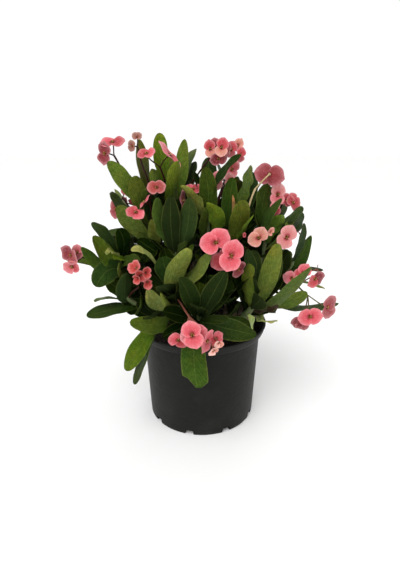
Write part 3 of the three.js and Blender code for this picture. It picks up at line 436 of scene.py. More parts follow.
# How near a point of the solid a tip has to lie to be found there. The tips of 20 leaves and a thorn lie a
# little farther off, so those are left out here though the solids have them.
CORNER_ROOM = 0.06
BARK_BROWN = (0.13, 0.085, 0.05, 1)
BARK_GREY = (0.3, 0.26, 0.2, 1)
SPINE_BROWN = (0.09, 0.045, 0.025, 1)
SPINE_TAN = (0.22, 0.16, 0.1, 1)
# Where each cane stands in the soil, and where it forks.
CANES = {
    "left": ((-40, -12), (-48, -20, 166)),
    "front": ((-10, -44), (-14, -50, 160)),
    "front_right": ((38, -42), (48, -50, 168)),
    "right": ((52, 0), (68, -6, 180)),
    "middle": ((12, -6), (16, -8, 196)),
    "upper_left": ((-32, 22), (-44, 20, 192)),
    "back_right": ((40, 42), (50, 54, 180)),
    "back_left": ((-10, 54), (-16, 68, 180)),
}
# Each shoot: its cane, its tip, whether the tip is given as the eye sees it (x, z, depth y) or else as a real
# place (x, y, z), the number of its leaf places set by rule, and how far the tip leans out.
SHOOTS = {
    "a": ("upper_left", (-82, 338, -5), True, 14, 0.25),
    "b": ("upper_left", (-38, 345, 15), True, 14, 0.05),
    "c": ("middle", (8, 322, -15), True, 14, 0.05),
    "d": ("middle", (48, 300, -22), True, 14, 0.15),
    "e": ("right", (98, 298, -15), True, 14, 0.25),
    "f": ("right", (136, 246, -20), True, 12, 0.5),
    "g": ("front_right", (84, 184, -82), True, 12, 0.4),
    "h": ("front", (-4, 162, -95), True, 12, 0.5),
    "i": ("front", (-45, 208, -72), True, 12, 0.3),
    "j": ("front", (-42, 282, -42), True, 12, 0.1),
    "k": ("left", (-128, 250, -25), True, 12, 0.5),
    "l": ("left", (-116, 192, -52), True, 12, 0.6),
    "m": ("left", (-72, 158, -76), True, 12, 0.5),
    "n": ("front_right", (128, 188, -38), True, 12, 0.6),
    "o": ("front_right", (36, 215, -66), True, 12, 0.2),
    "p": ("upper_left", (-84, 52, 306), False, 12, 0.3),
    "q": ("upper_left", (-114, 40, 234), False, 12, 0.6),
    "r": ("back_right", (50, 48, 322), False, 12, 0.1),
    "s": ("back_right", (112, 44, 262), False, 12, 0.5),
    "t": ("back_right", (66, 104, 256), False, 12, 0.5),
    "u": ("back_right", (92, 76, 206), False, 12, 0.8),
    "v": ("back_left", (-22, 58, 330), False, 12, 0.1),
    "w": ("back_left", (8, 106, 286), False, 12, 0.4),
    "x": ("back_left", (-56, 104, 256), False, 12, 0.5),
    "y": ("back_left", (4, 120, 212), False, 12, 0.8),
    "z": ("back_left", (-84, 82, 204), False, 12, 0.8),
}


def seen(x, z, y):
    # The place at depth y that the eye sees at x and z of the upright plane through the pot's axis.
    share = (y - EYE_PLACE.y) / -EYE_PLACE.y
    return Vector((x * share, y, EYE_PLACE.z + (z - EYE_PLACE.z) * share))


def reading(place):
    # The x, z and depth that a place is seen at.
    share = (place.y - EYE_PLACE.y) / -EYE_PLACE.y
    return place.x / share, EYE_PLACE.z + (place.z - EYE_PLACE.z) / share, place.y


class SmoothLine:
    # A Bezier line of three or four points, also read by the share of its length.

    STEPS = 200

    def __init__(self, *points):
        self.points = [Vector(point) for point in points]
        samples = [self.at(i / self.STEPS) for i in range(self.STEPS + 1)]
        self.lengths = [0.0]
        for first, second in zip(samples, samples[1:]):
            self.lengths.append(self.lengths[-1] + (second - first).length)
        self.length = self.lengths[-1]

    def at(self, t):
        points = self.points
        while len(points) > 1:
            points = [first.lerp(second, t) for first, second in zip(points, points[1:])]
        return points[0].copy()

    def tangent(self, t):
        return (self.at(min(1.0, t + 1e-4)) - self.at(max(0.0, t - 1e-4))).normalized()

    def even(self, share):
        wanted = share * self.length
        low, high = 0, self.STEPS
        while high - low > 1:
            middle = (low + high) // 2
            if self.lengths[middle] <= wanted:
                low = middle
            else:
                high = middle
        step = self.lengths[low + 1] - self.lengths[low]
        return (low + (wanted - self.lengths[low]) / step) / self.STEPS

    def at_share(self, share):
        return self.at(self.even(share))

    def tangent_at_share(self, share):
        return self.tangent(self.even(share))


def ways_round(side, other, count):
    turns = [j / count * 2 * math.pi for j in range(count)]
    return [side * math.cos(turn) + other * math.sin(turn) for turn in turns]


def closed_skin(rings, start, end):
    # Rings of points with faces between them, closed by a point at each end.
    count = len(rings[0])
    points = [point for ring in rings for point in ring] + [start, end]
    faces = ring_faces(len(rings), count)
    last = (len(rings) - 1) * count
    for j in range(count):
        ahead = (j + 1) % count
        faces += [(ahead, j, len(points) - 2), (last + j, last + ahead, len(points) - 1)]
    return points, faces


def tube_mesh(line, start, end, radius_start, radius_end, sides, steps, rough=0.0, blunt=0.0):
    # rough is how far the skin is uneven, and blunt is how far each end stands out.
    rings = []
    side = None
    for step in range(steps + 1):
        share = mix(start, end, step / steps)
        tangent = line.tangent_at_share(share)
        if side is None:
            side = (Vector((0, 0, 1)) if abs(tangent.z) < 0.9 else Vector((1, 0, 0))).cross(tangent)
        side = (side - tangent * side.dot(tangent)).normalized()
        middle = line.at_share(share)
        radius = mix(radius_start, radius_end, step / steps)
        rings.append([])
        for away in ways_round(side, tangent.cross(side), sides):
            uneven = rough * noise.noise((middle + away * radius) * BARK_BUMPS)
            rings[-1].append(middle + away * (radius + uneven))
    start_point = line.at_share(start) - line.tangent_at_share(start) * blunt
    end_point = line.at_share(end) + line.tangent_at_share(end) * blunt
    return closed_skin(rings, start_point, end_point)


def spine_mesh(root, direction):
    # A thorn: a wide soft foot, a thin shaft and a sharp tip, bent very slightly upwards.
    side = direction.orthogonal().normalized()
    length = SPINE_LENGTH + SPINE_SUNK
    rings = []
    for share, width in SPINE_RINGS:
        middle = root + direction * length * share + Vector((0, 0, SPINE_BEND * share * share))
        ways = ways_round(side, direction.cross(side), SPINE_SIDES)
        rings.append([middle + way * SPINE_RADIUS * width for way in ways])
    return closed_skin(rings, root, root + direction * length + Vector((0, 0, SPINE_BEND)))


class Growth:
    # The mesh of one node as it grows. Its points have a tint and a place across and along their blade.

    def __init__(self, name, node, slot, materials):
        self.name, self.node, self.slot, self.materials = name, node, slot, materials
        self.points, self.faces, self.face_materials = [], [], []
        self.tints, self.places = [], []

    def add(self, points, faces, material=0, tint=(1, 1, 1), places=None):
        first = len(self.points)
        self.points += points
        self.faces += [tuple(first + index for index in face) for face in faces]
        self.face_materials += [material] * len(faces)
        self.tints += [(*tint, 1.0)] * len(points)
        self.places += places or [(0.5, 0.5, 0.0, 1.0)] * len(points)

    def finish(self):
        piece = mesh_object(self.name, self.points, self.faces, self.materials)
        piece.data.polygons.foreach_set("material_index", self.face_materials)
        for layer, values in (("tint", self.tints), ("place", self.places)):
            attribute = piece.data.color_attributes.new(layer, "FLOAT_COLOR", "POINT")
            attribute.data.foreach_set("color", [channel for value in values for channel in value])
        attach(piece, "root")
        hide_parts(self.node)


def corners_of(node):
    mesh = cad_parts[node].data
    tree = kdtree.KDTree(len(mesh.vertices))
    for vertex in mesh.vertices:
        tree.insert(vertex.co * 1000, vertex.index)
    tree.balance()
    return tree


def is_corner(tree, place):
    return tree.find(place)[2] < CORNER_ROOM


def level_side(axis):
    return (Vector((1, 0, 0)) - axis * axis.x).normalized()


shoot_lines = {}
shoot_feet = {}
for name, (cane, tip, is_seen, rule, out) in SHOOTS.items():
    base, fork = CANES[cane]
    start = Vector(fork)
    top = seen(*tip) if is_seen else Vector(tip)
    outward = Vector((top.x, top.y, 0)).normalized()
    lean = (outward * out + Vector((0, 0, 1 - out * 0.5))).normalized()
    upward = Vector((start.x - base[0], start.y - base[1], SHOOT_RISE)).normalized()
    rise = (upward + (top - start).normalized() * SHOOT_PULL).normalized()
    reach = (top - start).length
    shoot_lines[name] = SmoothLine(start, start + rise * reach * SHOOT_HANDLE,
                                   top - lean * reach * SHOOT_HANDLE, top)
    shoot_feet[name] = max(LEAST_WOOD, 1 - LEAFY_LENGTH / shoot_lines[name].length)


def add_spines(growth, name, is_green, material):
    # The thorns on the woody part of a shoot or on its green part, where their tips are found in the solid.
    line, foot = shoot_lines[name], shoot_feet[name]
    corners = corners_of(growth.node)
    share = SPINE_FROM
    turn = list(SHOOTS).index(name)
    while share < SPINE_TO:
        if abs(share - foot) * line.length >= SPINE_CLEAR and (share > foot) == is_green:
            radius = mix(GREEN_RADIUS, TIP_RADIUS, max(0.0, (share - foot) / (1 - foot)))
            axis = line.tangent_at_share(share)
            ahead = (Quaternion(axis, turn) @ level_side(axis) + axis * SPINE_LEAN).normalized()
            root = line.at_share(share)
            if is_corner(corners, root + ahead * (radius + SPINE_LENGTH)):
                growth.add(*spine_mesh(root + ahead * (radius - SPINE_SUNK), ahead), material=material)
        turn += SPINE_TURN
        share += SPINE_SPACING / line.length


bark = spotted_skin("bark", BARK_BROWN, BARK_GREY, (120, 0.5, 0.2), 0.88, (260, 6, 0.75), (0.8, 0.0008))
thorn = spotted_skin("thorn", SPINE_BROWN, SPINE_TAN, (300, 0.4, 0.3), 0.5)
for cane, ((base_x, base_y), fork) in CANES.items():
    growth = Growth(f"wood_{cane}", f"cane_{cane}", "cane", [bark, thorn])
    low = Vector((base_x, base_y, SOIL_LEVEL - HOLE_DEPTH + 2 * GAP))
    trunk = SmoothLine(low, (base_x, base_y, SOIL_LEVEL + TRUNK_UPRIGHT), fork)
    growth.add(*tube_mesh(trunk, 0, 1, CANE_RADIUS, FORK_RADIUS + 0.3, 14, 22, rough=0.9, blunt=0.3))
    for name in [shoot for shoot, row in SHOOTS.items() if row[0] == cane]:
        line = shoot_lines[name]
        end = shoot_feet[name] - GAP / line.length
        growth.add(*tube_mesh(line, 0, end, FORK_RADIUS - 0.4, GREEN_RADIUS, 12, 20, rough=0.7, blunt=0.1))
        add_spines(growth, name, False, 1)
    growth.finish()


# ---- Leafy shoots ------------------------------------------------------------------------------------
# Each branch ends in a fleshy green stem with a bud, and its leaves stand round it: spoon shaped, thick and
# satin smooth, broadest towards the tip, with a pale rib and faint side veins.

LEAF_LENGTH = 88
LEAF_WIDTH = 26.5
LEAF_BOW = 0.07
LEAF_FOLD = 0.2
BROADEST = 0.7
GOLDEN_ANGLE = 137.5
LOWEST_LEAF = 0.03
HIGHEST_LEAF = 0.99
SHOOT_TURN = 77
# Angle off the stem of the lowest and the highest leaf that is set by rule, and how far it is drawn about.
RULE_SPREAD = (72, 18)
RULE_SPREAD_DRAWN = 10
RULE_GROWTH = (0.72, 0.32)
RULE_LENGTHS = (0.92, 1.08)
RULE_WIDTHS = (0.86, 1.06)
RULE_RISE = 0.1
ALONG_STEPS = 18
ACROSS = (-1.0, -0.84, -0.55, -0.25, 0.0, 0.25, 0.55, 0.84, 1.0)
# Leaf tones. They hold the light each leaf stands in as well as its green: 'sunlit' and 'bright' are partly
# painted light for leaves that face the light, and 'deep', a near-black green, is painted shade for leaves in
# the shade of the crown.
LEAF_TONES = {
    "deep": (0.006, 0.017, 0.0015), "bottle": (0.026, 0.062, 0.0045), "dark": (0.018, 0.044, 0.004),
    "mid": (0.036, 0.078, 0.005), "olive": (0.055, 0.086, 0.006), "grey": (0.068, 0.110, 0.016),
    "light": (0.114, 0.176, 0.020), "fresh": (0.070, 0.148, 0.006), "pale": (0.35, 0.43, 0.12),
    "dry": (0.045, 0.028, 0.015), "straw": (0.42, 0.27, 0.11), "moss": (0.092, 0.135, 0.008),
    "leafy": (0.058, 0.115, 0.008), "lime": (0.120, 0.235, 0.012), "sunlit": (0.150, 0.215, 0.036),
    "bright": (0.240, 0.340, 0.060),
}
RULE_TONES = ("dark", "mid", "dark", "mid", "olive", "dark", "mid")
SHADED_TONES = ("dark", "deep", "dark", "mid", "deep", "dark", "deep")
# Leaves given one by one: shoot, share up the leafy stem, tip as seen (x, z, depth), base as seen (x, z),
# width, roll of the face to the right, face (1 upper, -1 lower), wave of the edge, and tone.
LEAVES = (
    ("a", 0.80, -131, 394, -20, -95, 348, 25, 28, 1, 0, "light"),
    ("a", 0.55, -95, 375, -42, -89, 324, 25, 12, -1, 0.8, "moss"),
    ("a", 0.45, -130, 351, 0, -129, 336, 24, 70, 1, 0, "mid"),
    ("a", 0.50, -122, 354, 12, -120, 337, 24, 66, 1, 0, "sunlit"),
    ("a", 0.85, -85, 424, -8, -82, 350, 27, 34, 1, 0, "moss"),
    ("b", 0.75, -57, 432, 12, -60, 383, 24, 15, 1, 0, "lime"),
    ("b", 0.90, -23, 424, 18, -29, 355, 24, -35, 1, 0, "light"),
    ("b", 0.70, -11, 410, 42, -18, 398, 24, -60, 1, 0, "grey"),
    ("b", 0.50, -34, 395, -18, -44, 334, 24, 38, -1, 1.2, "lime"),
    ("b", 0.85, -44, 401, 30, -44, 379, 24, 20, 1, 0, "sunlit"),
    ("a", 0.90, -71, 384, -10, -52, 366, 22, 50, -1, 0, "light"),
    ("c", 0.60, -29, 362, -42, 1, 330, 24, -58, -1, 0, "bright"),
    ("c", 0.85, 5, 387, -18, 11, 324, 25, 8, 1, 0, "mid"),
    ("c", 0.75, 9, 400, 12, 10, 355, 25, -10, 1, 0, "dark"),
    ("c", 0.95, 54, 403, -14, 20, 380, 14, -30, 1, 0, "dark"),
    ("d", 0.85, 70, 388, 6, 54, 361, 24, 58, 1, 0, "light"),
    ("d", 0.70, 72, 380, 18, 62, 334, 25, 14, 1, 0, "dark"),
    ("d", 0.60, 44, 373, -28, 38, 321, 25, -34, 1, 0, "mid"),
    ("d", 0.45, 60, 341, -58, 51, 283, 27, 10, -1, 0.6, "moss"),
    ("e", 0.75, 145, 332, -14, 120, 312, 25, 52, 1, 0, "mid"),
    ("e", 0.85, 120, 350, -8, 114, 324, 22, 66, 1, 0, "mid"),
    ("e", 0.55, 115, 343, -38, 73, 305, 24, -60, -1, 0, "bottle"),
    ("e", 0.60, 114, 320, -34, 107, 298, 25, 30, -1, 0, "lime"),
    ("e", 0.50, 131, 322, -18, 130, 300, 24, 55, 1, 0, "bright"),
    ("e", 0.40, 145, 324, 2, 141, 295, 24, 58, 1, 0, "dark"),
    ("c", 0.35, 9, 338, -56, 33, 304, 25, -55, -1, 0, "lime"),
    ("d", 0.30, 73, 318, -62, 65, 295, 22, 70, -1, 0, "lime"),
    ("i", 0.75, 15, 263, -96, -29, 211, 25, -48, -1, 0, "sunlit"),
    ("i", 0.55, -17, 269, -110, -60, 202, 25, 18, -1, 1.6, "sunlit"),
    ("j", 0.35, -22, 277, -76, -49, 257, 25, -64, 1, 0, "dark"),
    ("j", 0.80, -64, 345, -52, -61, 290, 24, 42, -1, 0, "leafy"),
    ("j", 0.60, -44, 347, -64, -47, 275, 26, -8, -1, 0, "deep"),
    ("j", 0.75, -17, 345, -58, -22, 280, 26, -20, -1, 0, "dark"),
    ("c", 0.20, 13, 336, -46, 2, 298, 24, 58, -1, 0, "leafy"),
    ("k", 0.75, -161, 308, -38, -131, 283, 25, 55, 1, 0, "bottle"),
    ("k", 0.60, -160, 289, -55, -136, 236, 24, 34, 1, 0, "leafy"),
    ("k", 0.45, -205, 254, -40, -150, 249, 19, 52, 1, 0, "fresh"),
    ("k", 0.30, -162, 209, -62, -134, 264, 32, 10, 1, 0, "dark"),
    ("k", 0.50, -92, 251, -72, -133, 255, 24, -38, 1, 0, "bottle"),
    ("k", 0.20, -126, 244, -72, -115, 225, 24, 48, -1, 0, "sunlit"),
    ("l", 0.85, -115, 232, -72, -127, 179, 24, 44, -1, 0, "dark"),
    ("l", 0.40, -167, 185, -70, -138, 196, 24, 78, 1, 0, "fresh"),
    ("l", 0.25, -181, 160, -78, -124, 176, 30, 48, 1, 0, "bottle"),
    ("l", 0.60, -111, 162, -72, -101, 228, 31, 8, 1, 0, "deep"),
    ("m", 0.55, -114, 150, -112, -31, 142, 26, -12, 1, 0.8, "leafy"),
    ("m", 0.35, -125, 62, -92, -87, 136, 26, 16, 1, 1.6, "fresh"),
    ("m", 0.45, -113, 36, -100, -83, 110, 24, 50, 1, 0, "dark"),
    ("h", 0.50, 0, 29, -128, -22, 140, 34, 8, 1, 1.2, "mid"),
    ("h", 0.70, 88, 127, -120, 5, 143, 31, 6, 1, 0, "dark"),
    ("g", 0.80, 113, 278, -100, 94, 179, 25, 8, -1, 0.6, "light"),
    ("g", 0.60, 74, 246, -106, 61, 186, 24, -42, -1, 1.6, "moss"),
    ("h", 0.80, 36, 235, -112, 0, 155, 27, 14, -1, 0, "deep"),
    ("g", 0.65, 166, 242, -104, 107, 152, 22, 42, -1, 0, "grey"),
    ("f", 0.60, 183, 235, -44, 152, 250, 25, 60, 1, 0, "mid"),
    ("f", 0.70, 161, 290, -34, 132, 212, 24, 38, 1, 0, "mid"),
    ("f", 0.85, 149, 308, -22, 143, 267, 22, 72, 1, 0, "dark"),
    ("n", 0.60, 213, 181, -40, 153, 179, 25, 58, 1, 0, "mid"),
    ("f", 0.50, 188, 206, -10, 177, 219, 20, 72, 1, 0, "light"),
    ("i", 0.30, -84, 204, -104, -78, 167, 20, 44, 1, 0, "pale"),
    ("i", 0.45, -64, 199, -118, -33, 150, 24, 62, -1, 0, "bright"),
    ("o", 0.50, 56, 183, -92, 57, 150, 22, 55, -1, 0, "deep"),
    ("n", 0.30, 120, 152, -80, 79, 148, 18, 80, 1, 0, "pale"),
    ("g", 0.25, 73, 162, -112, 88, 128, 16, 60, 1, 0, "pale"),
    ("i", 0.55, -105, 266, -88, -78, 277, 18, 50, 1, 0, "pale"),
    ("a", 0.12, -121, 333, -34, -99, 299, 25, 10, 1, 0, "sunlit"),
    ("a", 0.05, -73, 313, -60, -73, 283, 17, 20, 1, 0, "bright"),
    ("k", 0.95, -122, 300, -40, -111, 274, 24, 20, 1, 0, "deep"),
    ("k", 0.55, -132, 254, -70, -113, 261, 16, 50, 1, 0, "lime"),
    ("e", 0.70, 93, 365, -20, 80, 324, 24, 30, 1, 0, "mid"),
    ("k", 0.40, -179, 272, -50, -146, 222, 25, 40, 1, 0, "leafy"),
    ("n", 0.45, 162, 201, -58, 133, 183, 24, 40, 1, 0, "light"),
)
# Rows of the same kind for what has no solid of its own: dark leaves deep in the crown, a pale young leaf,
# a shrivelled leaf and a dry bud scale.
SMALL_LEAVES = (
    ("c", 0.15, -8, 334, 5, -4, 290, 22, 0, 1, 0, "deep"),
    ("g", 0.30, 68, 201, 20, 53, 181, 18, 0, 1, 0, "deep"),
    ("f", 0.40, 135, 219, 0, 116, 194, 20, 0, 1, 0, "dark"),
    ("d", 0.50, 76, 352, 30, 73, 315, 22, 0, 1, 0, "deep"),
    ("e", 0.50, 142, 321, 10, 129, 295, 20, 0, 1, 0, "dark"),
    ("j", 0.50, -94, 283, -20, -62, 261, 24, 0, 1, 0, "deep"),
    ("l", 0.50, -86, 158, -40, -100, 190, 26, 0, 1, 0, "deep"),
    ("k", 0.60, -143, 261, -78, -133, 275, 8, 20, 1, 1.2, "pale"),
    ("g", 0.30, 120, 178, -104, 96, 172, 10, 30, 1, 2.2, "dry"),
    ("d", 0.35, 44, 348, -46, 48, 331, 4.5, 0, 1, 0.8, "straw"),
)
# A leaf that stands in another's way was slid along the sight line, or turned, tilted and shortened. The one
# of these places where the solid leaf's tip is found is the right one.
SLIDES = (0, 7, -7, 14, -14, 22, -22, 30, -30, 40)
TRIES = (
    (0, 0, 1), (13, 0, 1), (-13, 0, 1), (0, -13, 1),
    (0, 12, 0.95), (26, -8, 0.95), (-26, -8, 0.95), (38, 6, 0.9),
    (-38, 6, 0.9), (12, -22, 0.8), (-12, 20, 0.8), (70, 0, 0.95),
    (-70, 0, 0.95), (110, -6, 0.9), (-110, -6, 0.9), (180, 0, 0.9),
    (0, -18, 0.7), (90, -22, 0.75), (-90, -22, 0.75),
)


# Clusters: shoot, share up it, fork as seen (x, z, depth) or None for one flower, and the flowers: place as
# seen (x, z, depth), azimuth, elevation, angle of each bract, bract radius, cup of the bracts, and the
# tint of each bract.
CLUSTERS = {
    "top_left": ("a", 0.95, (-121, 402, -26), [
        (-133, 405, -34, -28, 2, 84, 262, 10.5, 10, "crimson", "crimson"),
        (-122, 419, -30, -10, 60, 2, 180, 12, 3, "deep", "coral"),
    ]),
    "left_upper": ("a", 0.3, (-113, 344, 4), [
        (-123, 328, -4, -30, 4, 95, 265, 9.5, 10, "dusky", "dusky"),
        (-106, 361, 0, -20, 15, 110, 290, 10, 5, "coral", "deep"),
    ]),
    "top_peach": ("a", 0.9, (-88, 413, -8), [
        (-88, 426, -8, 0, 15, 30, 150, 5.5, 20, "faded", "faded"),
        (-95, 415, -12, -10, 0, 100, 250, 5.5, 14, "faded", "faded"),
    ]),
    "top_slant": ("b", 0.9, (-58, 386, -14), [
        (-45, 403, -20, 78, 42, 90, 270, 15, 3, "coral", "coral"),
        (-76, 404, -28, -25, 50, 5, 186, 9.5, 8, "coral", "deep"),
    ]),
    "left_pair": ("a", 0.6, (-74, 344, -34), [
        (-64, 359, -42, 0, 8, 184, 10, 8.8, 10, "brick", "brick"),
        (-81, 338, -44, -78, 42, 90, 270, 8.5, 4, "coral", "coral"),
        (-95, 323, -48, -6, 46, 172, 322, 9.5, 6, "deep", "coral"),
    ]),
    "middle_left": ("b", 0.6, (-22, 340, -10), [
        (-12, 356, -22, 0, 45, 4, 178, 8.5, 6, "deep", "coral"),
        (-28, 341, -26, 68, 5, 88, 268, 9.5, 6, "dusky", "dusky"),
    ]),
    "top_middle": ("b", 0.92, (9, 396, 8), [
        (12, 411, -2, -14, 6, 100, 285, 8.5, 12, "deep", "peach"),
        (27, 413, -9, 8, 10, 70, 260, 9, 10, "deep", "peach"),
        (40, 410, 4, 28, 14, 60, 240, 8.5, 8, "deep", "dusky"),
        (23, 398, -4, 4, -6, 190, 10, 8.5, 10, "crimson", "dusky"),
        (19, 414, 0, 0, 12, 100, 275, 8, 14, "dusky", "dusky"),
        (33, 410, 2, 10, 10, 80, 250, 7.5, 14, "dusky", "faded"),
    ]),
    "top_right": ("c", 0.92, (43, 399, 10), [
        (49, 415, 14, 12, 14, 60, 215, 7.5, 22, "peach", "peach"),
        (53, 403, 8, 20, 6, 70, 250, 7.5, 8, "deep", "dusky"),
    ]),
    "middle_upper": ("c", 0.88, (33, 362, -16), [
        (42, 384, -16, 6, 10, 70, 250, 9.5, 12, "dusky", "pink"),
        (39, 369, -22, 0, 10, 95, 275, 7, 10, "pale", "pale"),
        (23, 368, -20, -20, 12, 90, 260, 9, 8, "pink", "pale"),
    ]),
    "right_back_view": ("d", 0.93, (76, 357, -38), [
        (95, 377, -42, 168, -4, 6, 196, 14, 10, "dusky", "dusky"),
    ]),
    "right_upper": ("e", 0.75, (116, 336, -16), [
        (108, 349, -28, 8, 8, 84, 262, 10.5, 6, "pale", "pink"),
        (130, 338, -16, 30, 6, 120, 330, 10, 6, "deep", "deep"),
        (106, 329, -32, 0, 8, 100, 280, 7, 6, "pink", "deep"),
        (121, 342, -20, 20, -10, 150, 335, 8.5, 10, "deep", "deep"),
    ]),
    "right_pink": ("e", 0.35, None, [
        (125, 287, -48, 8, 8, 66, 236, 12, 5, "pale", "pale"),
    ]),
    "right_peach": ("d", 0.25, (80, 277, -52), [
        (84, 286, -66, -4, 10, 202, 66, 10.5, 8, "peach", "peach"),
        (100, 295, -58, 28, 12, 60, 220, 5, 30, "peach", "peach"),
        (63, 289, -64, -10, 30, 90, 270, 3.5, 50, "deep", "deep"),
    ]),
    "front_pair": ("o", 0.9, (32, 246, -84), [
        (21, 279, -102, -6, 8, 190, 48, 14, 5, "coral", "coral"),
        (44, 259, -110, 5, 8, 72, 254, 14, 5, "coral", "coral"),
        (33, 254, -94, -10, -6, 215, 35, 13, 6, "deep", "deep"),
        (55, 238, -96, 30, -20, 84, 262, 9, 8, "crimson", "dusky"),
    ]),
    "far_left": ("k", 0.7, (-178, 256, -28), [
        (-195, 260, -40, -28, 8, 150, 330, 11.5, 14, "crimson", "dusky"),
        (-195, 242, -42, -20, -10, 200, 20, 10, 12, "pink", "deep"),
        (-185, 264, -32, 10, 20, 90, 270, 8, 20, "pink", "dusky"),
    ]),
    "left_coral": ("l", 0.9, (-91, 214, -76), [
        (-97, 239, -88, -34, 24, 60, 200, 9.2, 34, "scarlet", "scarlet"),
        (-85, 232, -92, 20, 14, 84, 264, 8.7, 50, "scarlet", "scarlet"),
        (-83, 219, -98, 12, -12, 90, 270, 8.7, 50, "scarlet", "scarlet"),
        (-96, 225, -96, -16, -8, 90, 270, 7.7, 50, "scarlet", "scarlet"),
        (-91, 228, -90, -6, 8, 130, 310, 7.7, 40, "scarlet", "scarlet"),
    ]),
    "front_low": ("i", 0.62, (-20, 160, -128), [
        (-15, 128, -153, -4, 10, 104, 288, 12.5, 4, "coral", "coral"),
        (7, 117, -143, 54, -8, 78, 250, 11.5, 8, "coral", "coral"),
        (22, 121, -134, 36, 28, 15, 195, 8, 8, "coral", "deep"),
        (-37, 117, -136, -20, 64, 172, 352, 10, 3, "coral", "deep"),
        (27, 114, -144, 20, -6, 200, 300, 5.5, 20, "cream", "peach"),
        (19, 100, -150, 10, -20, 220, 60, 5.5, 20, "cream", "peach"),
        (-13, 129, -146, 4, 12, 20, 200, 12, 6, "coral", "pink"),
    ]),
    "right_cluster": ("f", 0.8, (146, 214, -44), [
        (138, 223, -62, -6, 8, 160, 310, 9.5, 8, "pink", "peach"),
        (153, 231, -60, 4, 14, 60, 210, 10, 5, "coral", "deep"),
        (172, 223, -50, 24, -4, 216, 10, 10.5, 10, "deep", "crimson"),
        (174, 236, -48, 78, 4, 90, 270, 6, 6, "crimson", "crimson"),
    ]),
    "right_low": ("f", 0.55, (163, 196, -44), [
        (170, 160, -64, 4, 8, 186, 2, 12.5, 5, "coral", "coral"),
        (157, 152, -56, -18, -14, 200, 290, 10.5, 10, "crimson", "dusky"),
        (195, 176, -52, 30, 4, 52, 286, 13, 6, "dusky", "dusky"),
    ]),
}


def leaf_outline(share):
    return max(0.0, math.sin(math.pi * share ** 1.9)) ** 0.46


class Leaf:
    # A blade along a line from root to tip. A plain one has no waves along its edge.

    def __init__(self, root, middle, tip, normal, width, wave, phase):
        self.line = SmoothLine(root, middle + normal * LEAF_BOW * (tip - root).length, tip)
        self.tip, self.normal, self.width, self.wave, self.phase = tip, normal, width, wave, phase
        self.is_plain = wave == 0
        self.is_torn = False


def leaf_place(name, share):
    return mix(shoot_feet[name] + LOWEST_LEAF, HIGHEST_LEAF, share)


def hand_leaf(row, slide):
    name, share, tip_x, tip_z, tip_y, base_x, base_z, width, roll, face, wave = row[:-1]
    root = shoot_lines[name].at_share(leaf_place(name, share))
    tip = seen(tip_x, tip_z, tip_y + slide)
    base = seen(base_x, base_z, mix(root.y, tip.y, 0.4))
    along = (tip - base).normalized()
    sight = EYE_PLACE - base
    normal = (sight - along * sight.dot(along)).normalized()
    normal = (Quaternion(along, math.radians(roll)) @ normal) * face
    return Leaf(root, base, tip, normal, width, wave, tip_x)


def spread_leaf(name, place, turn, spread, length, width, phase, rise=0):
    # A leaf that stands off its stem at an angle, turned round the stem. rise is how far its tip is lifted.
    root = shoot_lines[name].at_share(place)
    axis = shoot_lines[name].tangent_at_share(place)
    across = Quaternion(axis, math.radians(turn)) @ level_side(axis)
    along = axis * math.cos(math.radians(spread)) + across * math.sin(math.radians(spread))
    tip = root + along * length + Vector((0, 0, rise))
    normal = (axis - along * axis.dot(along)).normalized()
    return Leaf(root, root + along * length * 0.5, tip, normal, width, 0, phase)


def rule_leaf(name, i, turn, tilt, shorten):
    # A leaf set by rule: upright near the tip of the shoot, spread wide at its foot, a golden angle apart.
    index = list(SHOOTS).index(name)
    share = (i + 0.5) / SHOOTS[name][3]
    turn += index * SHOOT_TURN + i * GOLDEN_ANGLE
    spread = mix(*RULE_SPREAD, share ** 0.8) + tilt + RULE_SPREAD_DRAWN * (draw(index, i, 1) - 0.5)
    grown = RULE_GROWTH[0] + RULE_GROWTH[1] * math.sin(math.pi * (0.15 + 0.75 * share))
    length = LEAF_LENGTH * grown * shorten * mix(*RULE_LENGTHS, draw(index, i, 2))
    width = LEAF_WIDTH * mix(*RULE_WIDTHS, draw(index, i, 4))
    rise = length * RULE_RISE * (draw(index, i, 3) - 0.4)
    return spread_leaf(name, leaf_place(name, share), turn, spread, length, width, i, rise)


# How leaves differ from each other: the least and the most of each measure, what its draw is made from, and
# how much the draw leans to the least.
LEAF_WAYS = {
    "fold": (0.02, 0.16, 3, 1),
    "cup": (-0.16, 0.22, 7, 1),
    "ripple": (0.5, 2.6, 4, 1.3),
    "ripples": (11, 24, 10, 1),
    "uneven": (0.02, 0.07, 11, 1),
    "point": (0, 0.45, 12, 2.5),
    "twist": (-16, 16, 8, 1),
    "bend": (-2.4, 2.4, 9, 1),
}
BLADE_THICKNESS = 0.62
RIB_THICKNESS = 0.55
RIB_SPREAD = 0.12
EDGE_THICKNESS = 0.05
PETIOLE_HALF = 1.3
POINT_REACH = 0.12
RIB_DROP = 0.85
WAVE_TURN = 17
# How far the left and the right edge are out of step, in their outline and in their ripple.
OUTLINE_STEP = 2.6
RIPPLE_STEP = 2.2
# The leaf that hangs over the front of the pot has lost one side of its tip.
TORN_LEAF = 47
TEAR_START = 0.86
TEAR_WIDTH = 0.78
TEAR_SHIFT = 7
TEAR_ROUNDING = 0.04


